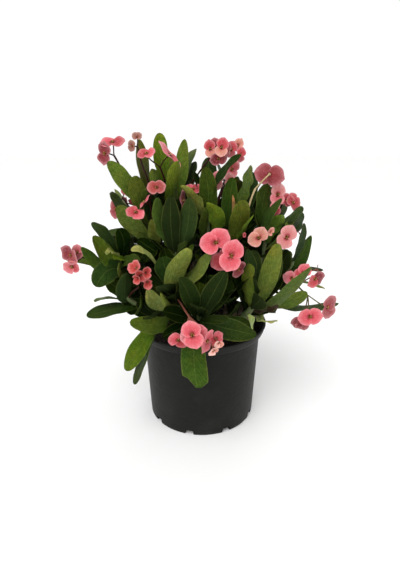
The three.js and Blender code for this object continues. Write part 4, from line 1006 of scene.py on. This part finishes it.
def leaf_mesh(leaf, seed, steps, across):
    # Two skins that share their edges.
    ways = {name: mix(least, most, draw(seed, key, 61) ** power)
            for name, (least, most, key, power) in LEAF_WAYS.items()}
    fold = ways["fold"] if leaf.is_plain else LEAF_FOLD
    point = ways["point"] if leaf.is_plain else 0
    points = []
    places = []
    faces = []
    broadest = leaf.line.tangent(BROADEST)
    across_broadest = broadest.cross(leaf.normal).normalized()
    count = len(across)
    for share in [1 - (1 - step / steps) ** 1.5 for step in range(steps)]:
        tangent = leaf.line.tangent(share)
        swell = math.sin(math.pi * share)
        side = broadest.rotation_difference(tangent) @ across_broadest
        side = Quaternion(tangent, math.radians(ways["twist"]) * swell) @ side
        normal = side.cross(tangent)
        middle = leaf.line.at(share) + side * ways["bend"] * swell * share
        sound = max(leaf.width / 2 * leaf_outline(share), PETIOLE_HALF * (1 - share))
        sound *= 1 - point * math.exp((share - 1) / POINT_REACH)
        torn = sound
        if leaf.is_torn:
            middle += side * TEAR_SHIFT * share ** 3
            held = leaf.width / 2 * leaf_outline(min(share, BROADEST))
            sound = held * min(1, (1 - share) / TEAR_ROUNDING) ** 0.5
            torn = held if share < TEAR_START else held * TEAR_WIDTH * (1 - share) / (1 - TEAR_START)
        for skin in (1, -1):
            for u in across:
                width = abs(u)
                is_right = u > 0
                half = torn if is_right else sound
                wander = math.sin(share * ways["ripples"] * 0.6 + seed + OUTLINE_STEP * is_right)
                lift = half * fold * (width ** 1.4 - 0.3)
                if leaf.is_plain:
                    lift -= RIB_DROP * (1 - width)
                wave_phase = share * WAVE_TURN + leaf.phase + (1 if is_right else -1)
                lift += leaf.wave * math.sin(wave_phase) * width ** 1.6
                lift += ways["cup"] * half * (width ** 2 - 0.35) * share
                edge_phase = share * ways["ripples"] + seed * 1.7 + RIPPLE_STEP * is_right
                lift += ways["ripple"] * swell * math.sin(edge_phase) * width ** 2
                thick = BLADE_THICKNESS * (1 - width ** 3) + EDGE_THICKNESS
                if skin < 0:
                    thick += RIB_THICKNESS * math.exp(-(width / RIB_SPREAD) ** 2) * (1 - share)
                if width == 1:
                    thick = 0
                out = half * u * (1 + ways["uneven"] * swell * wander)
                points.append(middle + side * out + normal * (lift + skin * thick))
                places.append((u * 0.5 + 0.5, share, 0.0 if skin > 0 else 1.0, 1.0))
    for station in range(steps - 1):
        upper = station * 2 * count
        ahead = upper + 2 * count
        for j in range(count - 1):
            faces.append((upper + j, upper + j + 1, ahead + j + 1, ahead + j))
            faces.append((upper + count + j + 1, upper + count + j, ahead + count + j, ahead + count + j + 1))
    last = (steps - 1) * 2 * count
    points.append(leaf.line.at(1))
    places.append((0.5, 1.0, 0.0, 1.0))
    tip = len(points) - 1
    for j in range(count - 1):
        faces.append((last + j, last + j + 1, tip))
        faces.append((last + count + j + 1, last + count + j, tip))
        faces.append((j + 1, j, count + j))
        faces.append((j + 1, count + j, count + j + 1))
    return points, faces, places


def point_place(tree):
    # How far across and along the blade each point lies, and whether it is on the underside.
    place = add_node(tree, "ShaderNodeAttribute", attribute_name="place").outputs["Color"]
    return add_node(tree, "ShaderNodeSeparateColor", {0: place}).outputs


def point_tint(tree):
    return add_node(tree, "ShaderNodeAttribute", attribute_name="tint").outputs["Color"]


VEIN_COUNT = 19
VEIN_SLANT = 4
RIB_WIDTH = 0.07
EDGE_FROM = 0.86
# Veins: masks of a leaf's rib, of the side veins that leave it at a slant, and of its edge.
veins, _, veins_out = new_group("veins", (), ("Rib", "Side Veins", "Edge"))
vein_across, vein_along = point_place(veins)[:2]
from_rib = calculated(veins, "ABSOLUTE", calculated(veins, "MULTIPLY_ADD", vein_across, 2, -1))
vein_number = calculated(veins, "SUBTRACT", calculated(veins, "MULTIPLY", vein_along, VEIN_COUNT),
                         calculated(veins, "MULTIPLY", from_rib, VEIN_SLANT))
vein_wave = calculated(veins, "SINE", calculated(veins, "MULTIPLY", vein_number, 2 * math.pi))
veins.links.new(ranged(veins, from_rib, 0.0, RIB_WIDTH, 1.0, 0.0, "SMOOTHSTEP"), veins_out["Rib"])
veins.links.new(ranged(veins, vein_wave, 0.3, 1.0), veins_out["Side Veins"])
veins.links.new(ranged(veins, from_rib, EDGE_FROM, 1.0, curve="SMOOTHSTEP"), veins_out["Edge"])

# What each layer of a leaf's colour mixes in or multiplies with. The paler edge and the lighter, yellower tip
# are partly the blade's own colour and partly painted highlight, and the darker foot is painted shade.
PATCH_OLIVE = (1.6, 1.05, 0.8, 1)
FLECK = (1.18, 1.12, 1.3, 1)
BETWEEN_FLECKS = (0.78, 0.81, 0.76, 1)
VEIN_DARK = (0.6, 0.68, 0.6, 1)
RIB_GREEN = (0.17, 0.24, 0.06, 1)
EDGE_GREEN_AND_HIGHLIGHT = (0.2, 0.24, 0.06, 1)
TIP_YELLOW_AND_HIGHLIGHT = (1.7, 1.3, 1.0, 1)
FOOT_PALE = (0.13, 0.17, 0.04, 1)
FOOT_PAINTED_SHADE = (0.38, 0.42, 0.4, 1)
UNDERSIDE = (0.17, 0.23, 0.09, 1)
LEAF_PATCHES = (45, 0.56, 0.24)
LEAF_FLECKS = (230, 0.56, 0.16)
LEAF_ROUGHNESS = (0.38, 0.52)
UNDERSIDE_DULLNESS = 0.12
LEAF_BRIGHTNESS = (0.84, 1.18)
LEAF_REDNESS = (0.85, 1.2)
LEAF_GLOSS = 0.11
# Gloss of a shaded copy of the leaf skin: painted shade for the leaves deep in the crown.
SHADED_LEAF_GLOSS = 0.015
STEM_GREEN = (0.09, 0.13, 0.04, 1)
STEM_SCAR = (0.16, 0.12, 0.07, 1)


def leaf_skin(name, gloss):
    material, tree = new_material(name)
    _, along, under = point_place(tree)
    vein = add_node(tree, "ShaderNodeGroup", node_tree=veins).outputs
    patches = blotch_mask(tree, *LEAF_PATCHES)
    flecks = mix_colour(tree, blotch_mask(tree, *LEAF_FLECKS), BETWEEN_FLECKS, FLECK)
    colour = layered(
        tree, point_tint(tree),
        (patches, 0.5, PATCH_OLIVE, "MULTIPLY"),
        (1.0, 1.0, flecks, "MULTIPLY"),
        (vein["Side Veins"], 0.42, VEIN_DARK, "MULTIPLY"),
        (vein["Rib"], 0.24, RIB_GREEN, "MIX"),
        # Paler edge and lighter, yellower tip: partly the blade's own colour, partly painted highlight.
        (vein["Edge"], 0.3, EDGE_GREEN_AND_HIGHLIGHT, "MIX"),
        (ranged(tree, along, 0.55, 1.0), 0.4, TIP_YELLOW_AND_HIGHLIGHT, "MULTIPLY"),
        (ranged(tree, along, 0.3, 0.0), 0.14, FOOT_PALE, "MIX"),
        # Painted shade: each blade is darkened towards its foot, as deep inside the crown.
        (ranged(tree, along, 0.5, 0.08), 0.72, FOOT_PAINTED_SHADE, "MULTIPLY"),
        (under, 0.07, UNDERSIDE, "MIX"))
    relief = calculated(tree, "MULTIPLY_ADD", noise_mask(tree, 95, 2), 4, noise_mask(tree, 700, 3))
    relief = calculated(tree, "MULTIPLY_ADD", vein["Side Veins"], -1.5, relief)
    relief = calculated(tree, "MULTIPLY_ADD", vein["Rib"], -1.6, relief)
    roughness = ranged(tree, patches, 0.0, 1.0, *LEAF_ROUGHNESS)
    add_surface(tree, {
        "Base Color": colour,
        "Roughness": calculated(tree, "MULTIPLY_ADD", under, UNDERSIDE_DULLNESS, roughness),
        "Specular IOR Level": gloss,
        "Normal": bumped(tree, relief, 0.75, 0.0007)})
    return material


def add_leaf(growth, leaf, tone, seed, steps=ALONG_STEPS, across=ACROSS, material=0):
    points, faces, places = leaf_mesh(leaf, seed, steps, across)
    bright = mix(*LEAF_BRIGHTNESS, draw(seed, 5, 61))
    red, green, blue = [channel * bright for channel in LEAF_TONES[tone]]
    redness = mix(*LEAF_REDNESS, draw(seed, 6, 61))
    growth.add(points, faces, material, (red * redness, green, blue), places)


def first_standing(corners, choices):
    # The first choice whose tip is where the solid leaf has its tip.
    return next((leaf for leaf in choices if is_corner(corners, leaf.tip)), None)


# The leaves that stand in the open, each with the number that its own small differences are drawn from.
open_leaves = {name: [] for name in SHOOTS}
for shoot_number, name in enumerate(SHOOTS):
    corners = corners_of(f"shoot_{name}")
    for number, row in enumerate(LEAVES):
        choices = (hand_leaf(row, slide) for slide in SLIDES) if row[0] == name else ()
        leaf = first_standing(corners, choices)
        if leaf:
            leaf.is_torn = number == TORN_LEAF
            open_leaves[name].append((leaf, row[-1], 100 + number))
    open_leaves[name] += [(hand_leaf(row, 0), row[-1], 300 + number)
                          for number, row in enumerate(SMALL_LEAVES) if row[0] == name]
    for i in range(SHOOTS[name][3]):
        leaf = first_standing(corners, (rule_leaf(name, i, *attempt) for attempt in TRIES))
        if leaf:
            tones = SHADED_TONES if leaf.tip.y < 0 else RULE_TONES
            tone = tones[int(draw(shoot_number, i, 60) * len(tones))]
            open_leaves[name].append((leaf, tone, shoot_number * 31 + i))

# Between them stand shorter, darker leaves that fill the inside of the crown. They keep clear of the others and
# don't stand in front of the listed leaves and the flowers.
INNER_LEAVES = 11
INNER_LENGTHS = (50, 74)
INNER_WIDTHS = (19.55, 25.3)
INNER_LOWER = 0.06
INNER_HIGHEST = 0.96
INNER_DARK_SHARE = 0.2
INNER_CLEARANCE = 8.5
INNER_TURNS = (0, 28, -28, 56, -56, 90, -90, 130, -130)
INNER_SPREAD = (64, 22)
INNER_SPREAD_DRAWN = 16
INNER_SHOOT_TURN = 50
INNER_STEPS = 9
INNER_ACROSS = (-1.0, -0.6, 0.0, 0.6, 1.0)
INNER_NEAR = 130
CROWN_CENTRE = Vector((0, 0, 216))
CROWN_RADII = (150, 152, 172)
CROWN_LOWEST = 160
FOOT_HEIGHT = 118
FOOT_HALF = 60
FOOT_SLOPE = 1.15
# How far beside a listed leaf and a flower nothing stands before it, and the step that counts as before.
LEAF_ROOM = 10
FLOWER_ROOM = 8
IN_FRONT = 2
flower_rows = [row for cluster in CLUSTERS.values() for row in cluster[3]]
shown = [(*reading(leaf.line.at(share)), LEAF_ROOM)
         for rows in open_leaves.values() for leaf, tone, seed in rows
         if seed in range(100, 100 + len(LEAVES)) for share in (0.5, 0.7, 0.9)]
shown += [(*row[:3], 1.3 * row[7] + FLOWER_ROOM) for row in flower_rows]
taken = [leaf.line.at(share) for rows in open_leaves.values() for leaf, tone, seed in rows
         for share in (0.3, 0.45, 0.6, 0.75, 0.9)]
taken += [seen(*row[:3]) for row in flower_rows]


def hides(place):
    across, height, depth = reading(place)
    return any(depth < y - IN_FRONT and math.hypot(across - x, height - z) < reach
               for x, z, y, reach in shown)


def stands_clear(leaf, near):
    tip = leaf.tip - CROWN_CENTRE
    if sum((tip[axis] / CROWN_RADII[axis]) ** 2 for axis in range(3)) > 1 or leaf.tip.z < CROWN_LOWEST:
        return False
    across, height = reading(leaf.tip)[:2]
    if height < FOOT_HEIGHT + FOOT_SLOPE * max(0, abs(across) - FOOT_HALF):
        return False
    places = [leaf.line.at(share) for share in (0.4, 0.7, 0.95)]
    if any((place - other).length < INNER_CLEARANCE for place in places for other in near):
        return False
    return not any(hides(leaf.line.at(share)) for share in (0.6, 1.0))


inner_leaves = {name: [] for name in SHOOTS}
for shoot_number, name in enumerate(SHOOTS):
    line, foot = shoot_lines[name], shoot_feet[name]
    near = [place for place in taken if (place - line.at_share(0.7)).length < INNER_NEAR]
    for i in range(INNER_LEAVES):
        share = (i + 0.5) / INNER_LEAVES
        place = mix(foot - INNER_LOWER, INNER_HIGHEST, share)
        length = mix(*INNER_LENGTHS, draw(shoot_number, i, 70))
        width = mix(*INNER_WIDTHS, draw(shoot_number, i, 72))
        # The inner leaves take the darkest tones, painted shade for the inside of the crown.
        tone = "deep" if draw(shoot_number, i, 73) > INNER_DARK_SHARE else "dark"
        spread = mix(*INNER_SPREAD, share) + INNER_SPREAD_DRAWN * (draw(shoot_number, i, 71) - 0.5)
        for turn in INNER_TURNS:
            turn += shoot_number * INNER_SHOOT_TURN + i * GOLDEN_ANGLE
            leaf = spread_leaf(name, place, turn, spread, length, width, i)
            if stands_clear(leaf, near):
                inner_leaves[name].append((leaf, tone, 900 + i))
                places = [leaf.line.at(share) for share in (0.4, 0.6, 0.8, 1.0)]
                near += places
                taken += places
                break

leaf_green = leaf_skin("leaf_skin", LEAF_GLOSS)
# A shaded copy of the leaf skin with almost no gloss, painted shade for leaves deep in the crown.
shaded_leaf_green = leaf_skin("shaded_leaf_skin", SHADED_LEAF_GLOSS)
stem_green = spotted_skin("green_stem", STEM_GREEN, STEM_SCAR, (210, 0.45, 0.15), 0.6, (300, 4),
                          (0.5, 0.0006))
for name in SHOOTS:
    growth = Growth(f"leaves_{name}", f"shoot_{name}", "leaf", [leaf_green, stem_green, thorn, shaded_leaf_green])
    stem = tube_mesh(shoot_lines[name], shoot_feet[name], 1, GREEN_RADIUS, TIP_RADIUS, 12, 18, 0.6, 5.5)
    growth.add(*stem, material=1)
    for leaf, tone, seed in open_leaves[name]:
        # Leaves of the deep tone, painted shade, take the shaded skin too.
        add_leaf(growth, leaf, tone, seed, material=3 if tone == "deep" else 0)
    for leaf, tone, seed in inner_leaves[name]:
        add_leaf(growth, leaf, tone, seed, INNER_STEPS, INNER_ACROSS, material=3)
    add_spines(growth, name, True, 2)
    growth.finish()


# ---- Blooms ------------------------------------------------------------------------------------------
# The flowers are tiny dark cups with ochre glands. What shows is the pair of coral bracts round each: nearly
# round blades that overlap beside the cup. They grow in clusters on thin forked stalks.

STALK_RADIUS = 1.3
STALK_END_RADIUS = 0.9
STALK_SUNK = 0.8
STEM_SUNK = 0.6
STALK_BEND = 0.4
FORK_AHEAD = 0.4
BRACT_REACH = 0.4
BRACT_RIPPLE = 0.07
BRACT_WRAP = (62, 160)
BRACT_FOOT = 0.14
BRACT_POINT = 0.08
BRACT_POINT_HALF = 8
BRACT_NICKS = 0.012
BRACT_NICK_COUNT = 9
BRACT_RUFFLE = 0.08
BRACT_TROUGH = 0.07
BRACT_SWELL = 0.05
BRACT_BRIGHTNESS = (0.94, 1.05)
BRACT_SPOKES = 44
BRACT_RINGS = 7
BRACT_THICKNESS = 0.5
BRACT_HUB_HALF = 0.3
BRACT_LIFTS = (0.45, -0.25)
CUP_RADIUS = 3.0
CUP_LENGTH = 1.9
CUP_OUT = 0.7
CUP_DEPTH = 2
KNOT = {"depth": 1.3, "length": 1.7, "width": 1.9}
BRACT_TINTS = {
    "coral": (0.62, 0.096, 0.122), "pink": (0.61, 0.170, 0.186), "peach": (0.58, 0.260, 0.180),
    "pale": (0.63, 0.255, 0.240), "deep": (0.45, 0.043, 0.056), "crimson": (0.19, 0.010, 0.019),
    "dusky": (0.29, 0.048, 0.053), "scarlet": (0.47, 0.050, 0.038), "cream": (0.76, 0.49, 0.39),
    "faded": (0.30, 0.160, 0.110), "brick": (0.34, 0.052, 0.042),
}
# What each layer of a bract's colour mixes in or multiplies with.
BRACT_INNER = (0.86, 0.42, 0.48, 1)
BRACT_HALO = (0.26, 0.012, 0.02, 1)
BRACT_MOTTLE = (0.86, 0.60, 0.58, 1)
BRACT_RIM = (0.80, 0.46, 0.47, 1)
BRACT_STREAK = (0.86, 0.55, 0.58, 1)
BRACT_BACK = (0.8, 0.62, 0.66, 1)
SPOT_DARK = (0.55, 0.5, 0.45, 1)
STALK_TINTS = {
    "maroon": (0.035, 0.008, 0.006), "russet": (0.22, 0.075, 0.05), "tan": (0.5, 0.38, 0.2),
    "olive": (0.12, 0.09, 0.03),
}
STALK_TINT_OF = {
    "front_low": "russet", "right_back_view": "tan", "right_low": "olive", "right_cluster": "russet",
}
CUP_WALL = (0.11, 0.02, 0.012)
# The beads round and over a cup: their number, the number that their turn is drawn with, how far they stand
# out and aside, their length and width, their sides and rings, and their tint.
CUP_BEADS = (
    (5, 80, 2.0, 1.75, 0.5, 0.85, 8, 5, (0.42, 0.20, 0.045)),
    (3, 81, 3.1, 0.7, 1.0, 0.4, 6, 4, (0.6, 0.42, 0.14)),
)
# The shoots at the back that bear a cluster set by rule.
RULE_CLUSTERS = ("p", "s", "t", "w", "x")


def rule_cluster(name):
    index = list(SHOOTS).index(name)
    top = shoot_lines[name].at(1)
    outward = Vector((top.x, top.y, 55)).normalized()
    turn = math.degrees(math.atan2(outward.x, -outward.y))
    aside_way = Vector((-outward.y, outward.x, 0))

    def place(distance, aside, lift):
        return reading(top + outward * distance + aside_way * aside + Vector((0, 0, lift)))

    return name, 0.96, place(22, 0, 4), [
        (*place(40, -13, 8), turn - 24, 30, 70 + 40 * draw(index, 0, 7), 256, 11, 5, "coral", "deep"),
        (*place(42, 13, 2), turn + 20, 16, 150 + 40 * draw(index, 1, 7), 350, 11, 5, "pink", "coral"),
    ]


def flower_frame(row):
    x, z, y, azimuth, elevation = row[:5]
    az, el = math.radians(azimuth), math.radians(elevation)
    facing = Vector((math.sin(az) * math.cos(el), -math.cos(az) * math.cos(el), math.sin(el)))
    right = Vector((math.cos(az), math.sin(az), 0))
    return seen(x, z, y), facing, right, facing.cross(right)


def bract_mesh(row, angle, lift, seed):
    # A blade that is a circle just holding the flower's middle, with a small point at its far end.
    centre, facing, right, up = flower_frame(row)
    radius, cup = row[7], math.radians(row[8])
    turned = math.radians(angle)
    points = []
    places = []
    for skin in (1, -1):
        for ring in range(1, BRACT_RINGS + 1):
            share = (ring / BRACT_RINGS) ** 0.9
            for spoke in range(BRACT_SPOKES):
                aside = spoke / BRACT_SPOKES * 2 * math.pi
                reach = BRACT_REACH * math.sin(aside)
                turn = math.degrees(aside if aside < math.pi else aside - 2 * math.pi)
                behind = min(1.0, max(0.0, (abs(turn) - BRACT_WRAP[0]) / (BRACT_WRAP[1] - BRACT_WRAP[0])))
                distance = radius * (BRACT_REACH * math.cos(aside) + math.sqrt(1 - reach * reach))
                distance *= 1 - (1 - BRACT_FOOT) * behind * behind * (3 - 2 * behind)
                distance *= share * (1 + BRACT_POINT * math.exp(-(turn / BRACT_POINT_HALF) ** 2) * share ** 4)
                distance *= 1 + BRACT_NICKS * math.sin(aside * BRACT_NICK_COUNT + seed)
                wide = distance * math.sin(aside)
                height = distance * math.sin(cup) + lift * min(1.0, share * 3)
                height += radius * BRACT_RIPPLE * math.sin(3 * aside + turned) * share ** 2
                height += radius * BRACT_RUFFLE * math.sin(5 * aside + seed * 2.1) * share ** 3
                height += (BRACT_TROUGH * wide * wide / radius
                           + BRACT_SWELL * radius * math.sin(math.pi * share))
                height += skin * BRACT_THICKNESS / 2 * (1 - share ** 6)
                way = right * math.cos(turned + aside) + up * math.sin(turned + aside)
                points.append(centre + way * distance * math.cos(cup) + facing * height)
                places.append((share, spoke / BRACT_SPOKES, 0.0 if skin > 0 else 1.0, 1.0))
    for skin in (1, -1):
        points.append(centre + facing * (BRACT_HUB_HALF * skin))
        places.append((0.0, 0.5, 0.0 if skin > 0 else 1.0, 1.0))
    faces = []
    ring_count = BRACT_RINGS * BRACT_SPOKES
    rim = ring_count - BRACT_SPOKES
    for spoke in range(BRACT_SPOKES):
        ahead = (spoke + 1) % BRACT_SPOKES
        for first, hub, order in ((0, 2 * ring_count, 1), (ring_count, 2 * ring_count + 1, -1)):
            faces.append((hub, first + spoke, first + ahead)[::order])
            for low in range(first, first + rim, BRACT_SPOKES):
                high = low + BRACT_SPOKES
                faces.append((low + spoke, high + spoke, high + ahead, low + ahead)[::order])
        faces.append((rim + spoke, ring_count + rim + spoke, ring_count + rim + ahead, rim + ahead))
    return points, faces, places


def bead_mesh(centre, axis, length, width, sides=8, rings=5):
    # A rounded bead drawn out along its axis.
    side = axis.orthogonal().normalized()
    ways = ways_round(side, axis.cross(side), sides)
    points = []
    faces = []
    for ring in range(1, rings):
        tilt = math.pi * ring / rings
        points += [centre + axis * length * math.cos(tilt) + way * width * math.sin(tilt) for way in ways]
    points += [centre + axis * length, centre - axis * length]
    last = (rings - 2) * sides
    for j in range(sides):
        ahead = (j + 1) % sides
        faces += [(len(points) - 2, ahead, j), (len(points) - 1, last + j, last + ahead)]
        for low in range(0, last, sides):
            faces.append((low + j, low + sides + j, low + sides + ahead, low + ahead))
    return points, faces


def add_cup(growth, row, seed):
    # The cyathium: a small cup with five nectar glands round its mouth and a few stamens.
    centre, facing, right, up = flower_frame(row)
    size = min(1.0, row[7] / 10)
    wall = bead_mesh(centre + facing * CUP_OUT * size, facing, CUP_LENGTH * size, CUP_RADIUS * size, 12, 6)
    growth.add(*wall, material=2, tint=CUP_WALL)
    for count, key, out, aside, length, width, sides, rings, tint in CUP_BEADS:
        for bead in range(count):
            turn = (bead + draw(seed, bead, key)) * 2 * math.pi / count
            away = right * math.cos(turn) + up * math.sin(turn)
            middle = centre + facing * out * size + away * aside * size
            skin = bead_mesh(middle, facing, length * size, width * size, sides, rings)
            growth.add(*skin, material=2, tint=tint)


def stalk_line(start, leaving, end, arriving):
    reach = (start - end).length * STALK_BEND
    return SmoothLine(start, start + leaving * reach, end - arriving * reach, end)


def bract_skin():
    material, tree = new_material("bract_skin")
    reach, spoke, under = point_place(tree)
    tint = point_tint(tree)
    streak_place = add_node(tree, "ShaderNodeCombineXYZ", {
        "X": calculated(tree, "MULTIPLY", spoke, 34), "Y": calculated(tree, "MULTIPLY", reach, 1.6)})
    streaks = noise_mask(tree, 1, 4, Vector=streak_place.outputs[0])
    colour = layered(
        tree, tint,
        (ranged(tree, reach, 0.75, 0.15), 0.9, BRACT_INNER, "MULTIPLY"),
        (ranged(tree, reach, 0.24, 0.4, 1.0, 0.0, "SMOOTHSTEP"), 0.75, BRACT_HALO, "MIX"),
        (blotch_mask(tree, 520, 0.5, 0.25), 0.18, BRACT_MOTTLE, "MIX"),
        (ranged(tree, reach, 0.7, 1.0), 0.85, mix_colour(tree, 0.4, tint, BRACT_RIM), "MIX"),
        (ranged(tree, streaks, 0.42, 0.6), 0.5, BRACT_STREAK, "MULTIPLY"),
        (under, 1.0, BRACT_BACK, "MULTIPLY"))
    add_surface(tree, {
        "Base Color": colour,
        "Roughness": 0.55,
        "Sheen Weight": 0.15,
        "Sheen Roughness": 0.5,
        "Specular IOR Level": 0.3,
        "Normal": bumped(tree, streaks, 0.6, 0.0006)})
    return material


def tinted_skin(name, roughness, scale):
    material, tree = new_material(name)
    spots = blotch_mask(tree, scale, 0.5, 0.3)
    colour = layered(tree, point_tint(tree), (spots, 0.5, SPOT_DARK, "MULTIPLY"))
    add_surface(tree, {"Base Color": colour, "Roughness": roughness, "Specular IOR Level": 0.15})
    return material


bloom_skins = [bract_skin(), tinted_skin("stalk_skin", 0.5, 250), tinted_skin("cup_skin", 0.45, 700)]
clusters = {**CLUSTERS, **{f"back_{name}": rule_cluster(name) for name in RULE_CLUSTERS}}
seed = 0
for cluster_name, (name, share, fork_seen, flowers) in clusters.items():
    growth = Growth(f"flowers_{cluster_name}", f"bloom_{cluster_name}", "bloom", bloom_skins)
    line, foot = shoot_lines[name], shoot_feet[name]
    place = leaf_place(name, share)
    root = line.at_share(place)
    axis = line.tangent_at_share(place)
    fork = seen(*fork_seen) if fork_seen else None
    heading = ((fork or flower_frame(flowers[0])[0]) - root).normalized()
    leaving = ((heading - axis * heading.dot(axis)).normalized() + axis).normalized()
    stalk_tint = STALK_TINTS[STALK_TINT_OF.get(cluster_name, "maroon")]
    skin_depth = mix(GREEN_RADIUS, TIP_RADIUS, (place - foot) / (1 - foot)) - STEM_SUNK
    if fork:
        stalk = stalk_line(root, leaving, fork, heading)
        start = min(0.5, skin_depth / stalk.length)
        growth.add(*tube_mesh(stalk, start, 1, STALK_RADIUS, STALK_RADIUS, 10, 16, 0.15, 0.8),
                   material=1, tint=stalk_tint)
    for row in flowers:
        seed += 1
        centre, facing = flower_frame(row)[:2]
        back = centre - facing * CUP_DEPTH
        if fork:
            aside = ((centre - fork).normalized() + heading * FORK_AHEAD).normalized()
            pedicel = stalk_line(back, -facing, fork - aside * STALK_SUNK, -aside)
            end = 1.0
            foot_radius = STALK_END_RADIUS
        else:
            pedicel = stalk_line(back, -facing, root, -leaving)
            end = 1 - skin_depth / pedicel.length
            foot_radius = STALK_RADIUS
        growth.add(*tube_mesh(pedicel, 0, end, STALK_END_RADIUS, foot_radius, 8, 14, 0.1, 0.3),
                   material=1, tint=stalk_tint)
        knot = bead_mesh(centre - facing * KNOT["depth"], facing, KNOT["length"], KNOT["width"], 10, 6)
        growth.add(*knot, material=1, tint=stalk_tint)
        for number, angle in enumerate(row[5:7]):
            points, faces, places = bract_mesh(row, angle, BRACT_LIFTS[number], seed * 2 + number)
            bright = mix(*BRACT_BRIGHTNESS, draw(seed, number, 90))
            tint = [channel * bright for channel in BRACT_TINTS[row[9 + number]]]
            growth.add(points, faces, 0, tint, places)
        add_cup(growth, row, seed)
    growth.finish()
